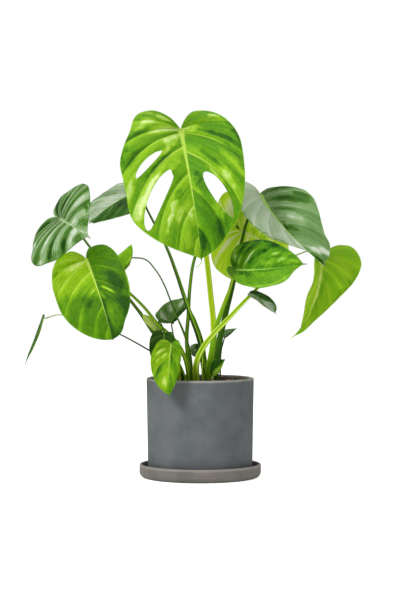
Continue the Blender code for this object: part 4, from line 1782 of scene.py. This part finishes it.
# Each leaf with its stalk, the large ones first. Places are in millimetres in the
# part's frame. The patches on a leaf are painted highlights, painted sheen and painted shade.
PLANT = (
    Stalk(
        Blade(
            "fenestrated", Tissue.BRIGHT, base=(-27, -20, 484), tip=(2, -70, 301), face=(5, 20),
            bend=30, drip=0.025, vein_rise=4.0, rows=110, columns=40,
            tail=((-2.9, 0, -4.8), (-6.5, 0, -7.5), (-9.5, 0, -6.8)), quilt=2.4,
            left=Half(78.8, widest=0.22, back=0.13, lobe=0.29, crown=0.53, shoulder=0.62, tone=0.4,
                vein_band_and_shade=0.05, slope_shade=0.25, veins=(0.05, 0.2, 0.43, 0.66, 0.83, 0.93),
                trim=(-0.4, 0.1, 0.4, -0.3, -0.6, -0.1, 0.6, 0.5, -1.3, 0.4)),
            right=Half(94.1, widest=0.53, back=0.17, lobe=0.35, crown=0.59, shoulder=0.49, tone=0.48,
                vein_band_and_shade=0.05, slope_shade=-0.3, veins=(0.04, 0.13, 0.26, 0.42, 0.62, 0.775, 0.88, 0.95),
                trim=(2.5, -3.0, 0.3, 3.6, -0.8, -2.6, 1.5, 0.4, -0.5, -1.3)),
            slits=(
                Slit(Side.RIGHT, 0.534, start=0.3, end=0.76, width=0.0298, peak=0.94, tilt=-0.028),
                Slit(Side.RIGHT, 0.712, start=0.23, end=0.965, width=0.0372, peak=0.78, blunt=0.45),
                Slit(Side.LEFT, 0.743, start=0.24, end=0.92, width=0.0447, peak=0.79, blunt=0.6),
            ),
            painted_light_and_shade=spots(
                (0.2, 0.27, 0.4, 0.12, 0.4), (0.7, 0.135, 0.25, 0.045, 0.4),
                (0.78, 0.24, 0.35, 0.04, -0.28), (0.76, 0.41, 0.35, 0.04, -0.3),
                (0.92, 0.53, 0.2, 0.06, 0.4), (0.13, 0.48, 0.2, 0.08, 0.38),
                (0.35, 0.605, 0.3, 0.03, -0.35), (0.62, 0.655, 0.4, 0.025, 0.5),
                (0.88, 0.66, 0.2, 0.06, 0.2), (0.45, 0.07, 0.25, 0.05, 0.3),
                (0.28, 0.8, 0.15, 0.02, -0.25), (0.46, 0.815, 0.2, 0.025, 0.3),
                (0.68, 0.815, 0.25, 0.02, 0.4), (0.4, 0.85, 0.35, 0.025, 0.35),
                (0.14, 0.88, 0.2, 0.06, 0.25), (0.2, 0.56, 0.16, 0.05, 0.35),
                (0.22, 0.69, 0.14, 0.03, 0.25), (0.8, 0.185, 0.2, 0.03, 0.25),
                (0.96, 0.33, 0.1, 0.1, -0.25), (-0.71, 0.8, 0.15, 0.025, 0.3),
                (-0.25, 0.35, 0.12, 0.05, -0.2), (0.65, 0.92, 0.4, 0.03, 0.2),
                (-0.12, 0.3, 0.3, 0.14, 0.35), (-0.65, 0.36, 0.45, 0.035, -0.38),
                (-0.97, 0.28, 0.12, 0.14, -0.3), (-0.84, 0.14, 0.14, 0.035, 0.45),
                (-0.8, 0.42, 0.3, 0.04, -0.25), (-0.4, 0.61, 0.3, 0.025, -0.25),
                (-0.78, 0.51, 0.35, 0.05, 0.32), (-0.15, 0.78, 0.12, 0.05, -0.25),
                (-0.66, 0.62, 0.22, 0.05, 0.3), (-0.45, 0.683, 0.3, 0.018, 0.4),
                (-0.3, 0.79, 0.25, 0.07, -0.22), (-0.85, 0.82, 0.35, 0.07, -0.38),
                (-0.35, 0.955, 0.45, 0.05, -0.28), (-0.6, 0.9, 0.9, 0.1, -0.18),
            ),
        ),
        StalkTone.LIME, root=(15, 18), foot_radius=4.6, top_radius=2.9, opens=-10, wing=0.12,
        route=((19, 16, 199), (14, 12, 261), (9, 8, 306), (-4, 0, 401), (-20, -8, 467)),
    ),
    Stalk(
        Blade(
            "upper_right", Tissue.GREY, base=(85, 50, 397), tip=(176, -8, 293), face=(-5, 25), bend=50,
            sway=0.08, quilt=2.0,
            left=Half(57.3, widest=0.33, back=0.0, lobe=0.05, crown=0.2, shoulder=0.6, tone=0.52,
                vein_band_and_shade=0.03, slope_shade=0.2, veins=(0.06, 0.24, 0.42, 0.6, 0.76, 0.9),
                trim=(-1.3, -1.0, 0.2, 0.3, 2.6, -0.2, -2.7, -3.0, 3.4, 4.6)),
            right=Half(38, widest=0.22, back=0.39, lobe=0.05, crown=0.44, shoulder=0.2, tone=0.84,
                vein_band_and_shade=0.02, trim=(-0.9, 1.1, 0.9, -0.5, -2.9, -2.3, -0.3, -3.2, -5.6, -10.3)),
            painted_light_and_shade=spots(
                (-0.3, 0.28, 0.35, 0.03, 0.2), (-0.5, 0.36, 0.6, 0.06, -0.3),
                (-0.45, 0.525, 0.5, 0.05, -0.4), (-0.35, 0.445, 0.35, 0.012, 0.3),
                (-0.35, 0.6, 0.4, 0.014, 0.15), (-0.3, 0.7, 0.3, 0.02, 0.1),
                (-0.3, 0.63, 0.3, 0.014, -0.2), (-0.4, 0.69, 0.4, 0.05, 0.25),
                (-0.15, 0.79, 0.15, 0.03, -0.25), (-0.8, 0.75, 0.3, 0.04, -0.12),
                (-0.85, 0.88, 0.4, 0.03, 0.4), (-0.45, 0.905, 0.4, 0.025, 0.5),
                (-0.2, 0.97, 0.8, 0.045, -0.5), (-0.04, 0.78, 0.08, 0.08, -0.3),
                (-0.8, 0.46, 0.2, 0.06, -0.3), (0.5, 0.9, 0.6, 0.07, 0.5), (0.96, 0.6, 0.08, 0.5, -0.2),
                (0.9, 0.1, 0.3, 0.06, -0.15),
            ),
        ),
        StalkTone.DARK, root=(21, 4), foot_radius=4.9, top_radius=1.8, opens=-110,
        route=((25, 8, 177), (36, 18, 227), (46, 18, 268), (52, 22, 300), (60, 38, 335), (70, 60, 366)),
    ),
    Stalk(
        Blade(
            "far_right", Tissue.YELLOW, base=(171, 26, 307), tip=(129, -10, 196), face=(50, 20),
            bend=40, sway=-0.04, quilt=0.7, tail=((-2.5, 0, -1.5), (-4.5, 0, 0.5)),
            left=Half(64, widest=0.0, back=0.25, lobe=0.5, shoulder=0.08, fold=20, tone=0.4, vein_band_and_shade=0.05,
                trim=(9.3, 6.2, 0.0, -0.1, -1.4, -1.9, -1.2, -0.1, 0.6, 3.3)),
            right=Half(30, widest=0.3, back=0.03, lobe=0.4, fold=30, tone=0.62, vein_band_and_shade=0.05,
                trim=(0.0, 2.1, 2.0, -0.3, -1.9, 2.3, 2.6, 0.3, -2.1, -5.7)),
            painted_light_and_shade=spots(
                (0.12, 0.55, 0.14, 0.6, 0.3), (0.04, 0.8, 0.12, 0.2, 0.3),
                (-0.2, 0.72, 0.14, 0.25, -0.2), (0.7, 0.82, 0.3, 0.15, -0.2),
                (-0.96, 0.45, 0.1, 0.25, -0.25), (0.7, 0.4, 0.3, 0.2, -0.12),
                (-0.6, 0.35, 0.35, 0.12, 0.1), (-0.5, 0.8, 0.4, 0.06, -0.12),
            ),
        ),
        StalkTone.BRIGHT, root=(-5, -28), foot_radius=4.4, top_radius=0.9, opens=-30, sheath=0.8,
        wing=0.3,
        route=((-4.5, -30, 161), (5, -32, 183), (18, -32, 200), (38, -28, 221), (57, -20, 241),
            (78, -10, 262), (119, 8, 300), (140, 18, 312), (157, 24, 315)),
    ),
    Stalk(
        Blade(
            "glossy_right", Tissue.GLOSSY, base=(49, -30, 289), tip=(147, -60, 298), face=(0, 35),
            bend=35, sway=0.09, quilt=1.6,
            left=Half(48.2, widest=0.28, back=0.08, lobe=0.37, crown=0.52, shoulder=0.46, tone=0.42,
                vein_band_and_shade=0.03, slope_shade=0.1),
            right=Half(33.7, widest=0.45, back=0.19, lobe=-0.5, crown=0.47, shoulder=0.49, tone=0.5,
                vein_band_and_shade=0.0, slope_shade=0.0, trim=(-0.7, -0.2, 1.0, -0.3, -1.8, 3.2, -3.7)),
            painted_light_and_shade=spots(
                (-0.65, 0.16, 0.32, 0.05, 0.35), (-0.72, 0.3, 0.3, 0.05, -0.35),
                (-0.2, 0.15, 0.2, 0.06, -0.3), (-0.42, 0.215, 0.25, 0.04, 0.35),
                (-0.25, 0.36, 0.2, 0.08, 0.25), (-0.6, 0.42, 0.2, 0.03, -0.25),
                (-0.35, 0.505, 0.35, 0.014, 0.5), (-0.3, 0.57, 0.22, 0.03, -0.3),
                (-0.65, 0.6, 0.22, 0.045, -0.35), (-0.28, 0.73, 0.2, 0.1, 0.25),
                (-0.5, 0.495, 0.2, 0.03, 0.15), (-0.5, 0.87, 0.4, 0.035, 0.2),
                (0.16, 0.5, 0.2, 0.16, -0.32), (-0.92, 0.6, 0.12, 0.07, -0.3),
                (-0.68, 0.71, 0.24, 0.04, 0.4), (-0.48, 0.815, 0.28, 0.04, 0.38),
                (-0.56, 0.765, 0.15, 0.012, -0.3), (-0.97, 0.45, 0.1, 0.35, -0.35),
                (-0.75, 0.9, 0.3, 0.05, 0.15), (0.95, 0.6, 0.15, 0.35, 0.2),
                (0.08, 0.78, 0.1, 0.2, -0.15),
            ),
        ),
        StalkTone.GREEN, root=(12, -14), foot_radius=4.4, top_radius=1.8, opens=-130, sheath=0.8,
        wing=0.5,
        route=((17, -12, 177), (21, -11, 203), (30, -10, 231), (39, -12, 256), (45, -20, 277)),
    ),
    Stalk(
        Blade(
            "behind_middle", Tissue.LIME, base=(60, 70, 344), tip=(133, 150, 306), face=(52, -5),
            bend=20,
            left=Half(52, widest=0.2, back=0.45, lobe=0.18, crown=0.95, fold=5, tone=0.62, vein_band_and_shade=0.08,
                slope_shade=0.3),
            right=Half(72, widest=0.2, back=0.38, lobe=0.18, crown=0.8, fold=3, tone=0.66, vein_band_and_shade=0.08,
                slope_shade=0.3),
            painted_light_and_shade=spots(
                (-0.17, 0.1, 0.14, 0.08, -0.9), (-0.08, 0.55, 0.1, 0.35, -0.22),
                (-0.6, 0.16, 0.35, 0.12, 0.4), (0.5, 0.2, 0.4, 0.06, 0.2),
                (0.6, 0.34, 0.3, 0.05, -0.25),
            ),
        ),
        StalkTone.WINGED, root=(-14, 10), foot_radius=3.2, top_radius=1.6, opens=0, sheath=0.2,
        route=((-19, 14, 191), (-17, 16, 222), (-14, 20, 269), (-8, 24, 305), (7, 35, 343),
            (31, 51, 355)),
    ),
    Stalk(
        Blade(
            "heart_left", Tissue.FRESH, base=(-156, -50, 305), tip=(-117, -90, 194), face=(-20, 20),
            # Painted shade darkens this blade below 254 mm.
            bend=30, drip=0.02, sway=-0.035, shade_below=(254, 8, 0.3),
            left=Half(50.7, widest=0.41, back=0.11, lobe=0.14, crown=0.64, shoulder=0.6, tone=0.2,
                vein_band_and_shade=0.02, slope_shade=0.05, veins=(0.05, 0.2, 0.36, 0.52, 0.68, 0.83, 0.93),
                trim=(-0.4, 0.3, -1.4, -3.2, -3.3, -3.2, -3.6, -2.5, -2.9, 2.2)),
            right=Half(55, widest=0.35, back=0.16, lobe=0.36, crown=0.73, shoulder=0.59, tone=0.6,
                vein_band_and_shade=0.05, slope_shade=-0.2, veins=(0.04, 0.16, 0.3, 0.44, 0.58, 0.72, 0.85, 0.94),
                trim=(-0.1, -0.4, 1.3, 2.6, 2.8, 4.2, 3.0, 1.8, 1.1, 0.7)),
            painted_light_and_shade=spots(
                (-0.25, 0.88, 0.3, 0.1, 0.25), (0.35, 0.38, 0.35, 0.08, 0.2),
                (0.35, 0.66, 0.25, 0.05, -0.12), (0.6, 0.13, 0.5, 0.1, 0.08),
                (0.45, 0.27, 0.35, 0.012, -0.2), (0.2, 0.36, 0.25, 0.12, 0.2),
                (0.9, 0.3, 0.12, 0.08, -0.1), (0.15, 0.735, 0.12, 0.014, 0.35),
                (0.3, 0.74, 0.4, 0.07, -0.28), (-0.99, 0.55, 0.05, 0.12, 0.35),
                (0.85, 0.52, 0.2, 0.08, 0.15), (-0.26, 0.725, 0.2, 0.016, 0.5),
                (-0.43, 0.72, 0.15, 0.016, 0.45), (-0.4, 0.505, 0.4, 0.012, 0.3),
                (-0.55, 0.62, 0.4, 0.12, -0.22), (-0.08, 0.79, 0.12, 0.04, 0.3),
                (-0.6, 0.86, 0.6, 0.14, 0.36),
            ),
        ),
        StalkTone.GREEN, root=(-16, -24), foot_radius=2.8, top_radius=1.7, opens=60,
        route=((-25, -28, 176), (-39, -30, 196), (-55, -32, 211), (-78, -38, 239), (-95, -42, 256),
            (-121, -42, 281)),
    ),
    Stalk(
        Blade(
            "upper_left", Tissue.GLAUCOUS, base=(-196, 10, 361), tip=(-148, -70, 332), face=(-38, 30),
            bend=15, quilt=2.2,
            left=Half(59.7, widest=0.21, back=0.48, lobe=0.12, crown=0.53, shoulder=0.26, tone=0.5,
                vein_band_and_shade=-0.19, slope_shade=0.0, veins=(0.09, 0.2, 0.31, 0.42, 0.53, 0.67, 0.84),
                trim=(5.3, -2.9, -0.6, 1.6, -0.4, -0.5, 0.2, 0.2, 0.2, -1.6)),
            right=Half(74.6, widest=0.47, back=0.38, lobe=0.14, crown=0.28, shoulder=0.58, tone=0.52,
                vein_band_and_shade=-0.21, slope_shade=0.0, veins=(0.07, 0.17, 0.28, 0.4, 0.52, 0.65, 0.78, 0.9),
                trim=(3.0, 1.9, 0.2, -2.6, 1.1, 0.5, -1.9, 3.2, -1.1, -3.1)),
            painted_light_and_shade=spots(
                (0.88, 0.7, 0.25, 0.06, -0.35), (0.85, 0.56, 0.2, 0.06, -0.2),
                (0.0, 0.88, 0.5, 0.08, 0.3), (0.4, 0.82, 0.25, 0.03, -0.3),
                (-0.4, 0.3, 0.3, 0.06, -0.25), (-0.8, 0.7, 0.15, 0.05, -0.2),
                (-0.6, 0.1, 0.6, 0.08, -0.5), (-0.45, 0.3, 0.45, 0.07, -0.35),
                (-0.65, 0.6, 0.4, 0.09, 0.22), (-0.2, 0.8, 0.3, 0.08, 0.25),
                (-0.92, 0.74, 0.12, 0.06, -0.35), (0.65, 0.15, 0.5, 0.13, -0.5),
                (0.9, 0.38, 0.15, 0.1, 0.3), (0.45, 0.57, 0.3, 0.03, 0.2), (0.6, 0.66, 0.5, 0.03, -0.3),
                (0.66, 0.785, 0.35, 0.035, -0.45), (0.4, 0.84, 0.5, 0.05, 0.25),
            ),
        ),
        StalkTone.DARK, root=(-23, -8), foot_radius=2.7, top_radius=1.6, opens=60,
        route=((-47, -8, 181), (-63, -12, 199), (-83, -16, 229), (-96, -14, 246), (-132, -10, 291),
            (-153, 0, 320), (-175, 14, 345)),
    ),
    Stalk(
        Blade(
            "dark_left", Tissue.DARK, base=(-86, 70, 403), tip=(-158, 40, 354), face=(-30, 40), bend=20,
            left=Half(52, widest=0.38, back=-0.06, lobe=0.2, crown=0.2, shoulder=0.6, tone=0.36,
                vein_band_and_shade=0.04, slope_shade=-0.2, trim=(-6.0, -8.0, -5.0, -3.0, -2.0, -3.0, -5.0, -2.9, -0.4, 3.5)),
            right=Half(31.3, widest=0.43, back=-0.02, lobe=0.69, crown=1.0, shoulder=0.88, tone=0.86,
                vein_band_and_shade=0.06, slope_shade=0.1, trim=(-1.8, 4.7, 0.6, -2.0, -1.6, 0.9, 1.1, -1.2, -0.3, 5.1)),
            painted_light_and_shade=spots(
                (0.98, 0.5, 0.12, 0.5, -0.4), (0.3, 0.7, 0.3, 0.25, 0.12), (0.6, 0.6, 0.4, 0.04, -0.2),
                (-0.3, 0.7, 0.3, 0.06, -0.3), (-0.1, 0.93, 0.3, 0.05, 0.2),
            ),
        ),
        StalkTone.WINGED, root=(7, 8), foot_radius=4.3, top_radius=1.5, opens=62, sheath=0.36, wing=0.7,
        route=((4, 6, 160), (0, 2, 187), (-15, -4, 231), (-22, 4, 251), (-35, 22, 289), (-48, 40, 322),
            (-68, 60, 360), (-78, 68, 380)),
    ),
    Stalk(
        Blade(
            "small_left", Tissue.YELLOW, base=(-94, -32, 307), tip=(-121, -32, 262), face=(-10, 30),
            bend=20, quilt=0.5, rows=44, columns=12,
            left=Half(2.0, back=0.02, lobe=0.3, tone=0.1, veins=(0.3, 0.6, 0.85)),
            right=Half(18, widest=0.15, back=0.27, lobe=0.65, crown=0.1, tone=0.3,
                veins=(0.15, 0.35, 0.6, 0.85)),
        ),
        StalkTone.DARK, root=(-12, -13), foot_radius=1.6, top_radius=0.9, opens=40,
        route=((-15, -12, 177), (-22, -10, 199), (-33, -8, 226), (-41, -12, 246), (-50, -16, 269),
            (-63, -22, 291), (-76, -28, 304)),
    ),
    Stalk(
        Blade(
            "hanging_left", Tissue.FRESH, base=(-218, 0, 222), tip=(-246, 10, 156), face=(-80, 10),
            bend=-18, wave=0.2, quilt=0.3, rows=44, columns=12,
            left=Half(16, widest=0.3, back=0.06, lobe=0.3, tone=0.0, veins=(0.15, 0.4, 0.65, 0.88)),
            right=Half(16, widest=0.3, back=0.06, lobe=0.3, tone=0.1, veins=(0.15, 0.4, 0.65, 0.88)),
        ),
        StalkTone.THREAD, root=(-32, 2), foot_radius=1.3, top_radius=0.8, sheath=0.0,
        route=((-50, -2, 167), (-70, -8, 177), (-90, -18, 189), (-110, -26, 200), (-152, -25, 218),
            (-195, -12, 227)),
    ),
    Stalk(
        Blade(
            "over_rim", Tissue.FRESH, base=(-39, -66, 189), tip=(-42, -92, 117), face=(-15, 20),
            bend=30, quilt=0.6, rows=50, columns=14,
            left=Half(16, widest=0.28, back=0.07, lobe=0.4, shoulder=0.55, tone=0.38,
                veins=(0.15, 0.38, 0.6, 0.82)),
            right=Half(26, widest=0.33, back=0.08, lobe=0.4, shoulder=0.55, tone=0.52,
                veins=(0.1, 0.28, 0.46, 0.64, 0.84)),
            painted_light_and_shade=spots(
                (0.45, 0.4, 0.35, 0.06, 0.4), (0.25, 0.56, 0.25, 0.05, 0.35),
                (0.6, 0.54, 0.25, 0.05, 0.3), (0.6, 0.68, 0.5, 0.06, -0.4),
                (0.5, 0.86, 0.45, 0.07, 0.35), (0.5, 0.28, 0.35, 0.05, -0.3),
                (-0.12, 0.62, 0.08, 0.14, -0.4), (-0.6, 0.5, 0.3, 0.1, 0.15),
            ),
        ),
        StalkTone.BRIGHT, root=(-29, -30), foot_radius=1.7, top_radius=1.2, opens=160,
        route=((-29, -42, 160), (-31, -56, 178)),
    ),
    Stalk(
        Blade(
            "behind_rim_leaf", Tissue.DARK, base=(-49, -45, 202), tip=(-54, -55, 156), face=(0, 20),
            bend=20, quilt=0.6, rows=44, columns=12,
            left=Half(16, back=0.06, lobe=0.5, shoulder=0.7, veins=(0.15, 0.4, 0.65, 0.88)),
            right=Half(19, back=0.06, lobe=0.5, shoulder=0.7, veins=(0.15, 0.4, 0.65, 0.88)),
        ),
        StalkTone.DARK, root=(-31, -16), foot_radius=1.4, top_radius=1.1, opens=90, sheath=0.25,
        route=((-44, -20, 180), (-55, -22, 208), (-57, -30, 220.5), (-54, -38, 216)),
    ),
    Stalk(
        Blade(
            "between_stalks", Tissue.LIME, base=(-56, -27, 206), tip=(-81, -32, 229), face=(0, 30),
            bend=10, wave=0.4, quilt=0.2, rows=32, columns=8,
            left=Half(7, widest=0.5, back=0.03, lobe=0.5, shoulder=0.6, tone=0.82, veins=(0.3, 0.7)),
            right=Half(5, widest=0.5, back=0.03, lobe=0.5, shoulder=0.6, tone=0.8, veins=(0.3, 0.7)),
        ),
        StalkTone.GREEN, root=(-20, -36), foot_radius=1.3, top_radius=0.9, sheath=0.0,
        route=((-38, -32, 178),),
    ),
    Stalk(
        Blade(
            "low_middle", Tissue.DARK, base=(-41, 35, 214), tip=(-20, 60, 247), face=(0, 30), bend=20,
            quilt=0.8, rows=44, columns=12,
            left=Half(27, widest=0.25, back=0.12, lobe=0.5, shoulder=0.7, tone=0.66, vein_band_and_shade=0.0,
                slope_shade=0.05, veins=(0.15, 0.35, 0.55, 0.75, 0.9),
                trim=(0.2, 1.6, -1.4, -1.9, -3.5, -4.2, -4.0, -2.8, -2.5, 3.0)),
            right=Half(8, widest=0.4, back=0.02, lobe=0.5, shoulder=0.7, veins=(0.3, 0.6, 0.85),
                trim=(-3.8, -1.3, -2.4, -1.9, -0.9, -0.9, 0.6, 0.8, 0.1, 1.4)),
            painted_light_and_shade=spots(
                (-0.5, 0.3, 0.4, 0.12, 0.3), (-0.1, 0.9, 0.6, 0.1, 0.45), (-0.5, 0.62, 0.4, 0.1, 0.25),
                (-0.75, 0.46, 0.4, 0.06, -0.2),
            ),
        ),
        StalkTone.DARK, root=(-33, 12), foot_radius=1.3, top_radius=0.9, sheath=0.0,
        route=((-37, 20, 191),),
    ),
    Stalk(
        Blade(
            "beak_right", Tissue.DARK, base=(68, -20, 257), tip=(105, -32, 228), face=(20, 40), bend=50,
            wave=0.5, quilt=0.3, rows=36, columns=10,
            left=Half(11, widest=0.55, back=0.02, lobe=0.3, shoulder=0.7, veins=(0.3, 0.6, 0.85)),
            right=Half(8, widest=0.5, back=0.02, lobe=0.3, shoulder=0.6, tone=0.8,
                veins=(0.3, 0.6, 0.85)),
            painted_light_and_shade=spots((0, 0.88, 1.3, 0.16, 0.5), (-0.4, 0.3, 0.6, 0.3, -0.15)),
        ),
        StalkTone.GREEN, root=(3, -37), foot_radius=1.3, top_radius=0.8, sheath=0.2, opens=60,
        route=((3, -35, 160), (5, -27, 182), (17, -25, 201), (38, -20, 220), (57, -12, 240),
            (65, -14, 251)),
    ),
    Stalk(
        Blade(
            "back_right", Tissue.GLAUCOUS, base=(34, 40, 193), tip=(52, 50, 206), face=(0, 50), bend=10,
            wave=0.4, quilt=0.2, rows=28, columns=8,
            left=Half(9, widest=0.35, back=0.02, lobe=0.4, crown=0.8, shoulder=0.25, tone=0.55,
                veins=(0.3, 0.6, 0.85)),
            right=Half(2.5, widest=0.3, back=0.02, lobe=0.3, tone=0.3, veins=(0.3, 0.6, 0.85)),
        ),
        StalkTone.DARK, root=(28, 18), foot_radius=1.3, top_radius=0.9, sheath=0.0,
        route=((30, 32, 176),),
    ),
    Stalk(
        Blade(
            "mix_right", Tissue.BRIGHT, base=(18, -26, 144), tip=(35, -22, 167), face=(30, 30), bend=10,
            wave=0.4, quilt=0.2, rows=28, columns=8,
            left=Half(12.5, widest=0.55, back=0.02, lobe=0.2, crown=0.5, shoulder=0.3, tone=-0.5,
                veins=(0.4, 0.8)),
            right=Half(4.2, widest=0.32, back=0.02, lobe=0.3, shoulder=0.3, tone=0.6, veins=(0.4, 0.8)),
            painted_light_and_shade=spots((-0.12, 0.5, 0.28, 0.6, 1.0)),
        ),
        StalkTone.THREAD, root=(17, -25), foot_radius=1.3, top_radius=1.1, sheath=0.0,
        route=(),
    ),
    Stalk(
        Blade(
            "mix_back", Tissue.DARK, base=(-6, 28, 167), tip=(-6, 36, 186), face=(0, 20), bend=10,
            wave=0.4, quilt=0.2, rows=28, columns=8,
            left=Half(8, widest=0.7, back=0.02, lobe=0.3, tone=0.75, veins=(0.4, 0.8)),
            right=Half(8, widest=0.7, back=0.02, lobe=0.3, veins=(0.4, 0.8)),
        ),
        StalkTone.BROWN, root=(-6, 27), foot_radius=1.3, top_radius=1.0, sheath=0.0,
        route=(),
    ),
)


def build_pottery() -> None:
    """Builds the saucer and the pot."""
    foot = SAUCER_FLOOR + SEAT_GAP
    saucer = Dish("saucer_ware", "saucer", "saucer", Clay.TAUPE, low=0.0, high=19.0, foot_radius=85.0,
        top_radius=85.0, wall=4.0, floor=SAUCER_FLOOR, corner=8.0, inner_corner=4.0, lip=1.9)
    pot = Dish("pot_ware", "pot", "pot", Clay.CHARCOAL, low=foot, high=POT_TOP, foot_radius=73.0,
        top_radius=POT_RADIUS, wall=POT_WALL, floor=foot + POT_FLOOR, corner=2.2, inner_corner=3.0,
        lip=2.2, drain=7.0)
    for dish in (saucer, pot):
        dish.dress(dish.build())


def main() -> None:
    """Builds the pottery, the mix, the plant and the studio, in that order."""
    logging.basicConfig(level=logging.INFO, format="%(message)s")
    build_pottery()
    clear = tuple((*stalk.root, stalk.foot_radius + 1.0) for stalk in PLANT)
    mix = PottingMix(keep_clear=clear)
    mix.build()
    mix.dress()
    for stalk in PLANT:
        stalk.blade.dress(stalk.blade.build())
        stalk.dress(stalk.build())
    Studio().build()


if __name__ == "__main__":
    main()
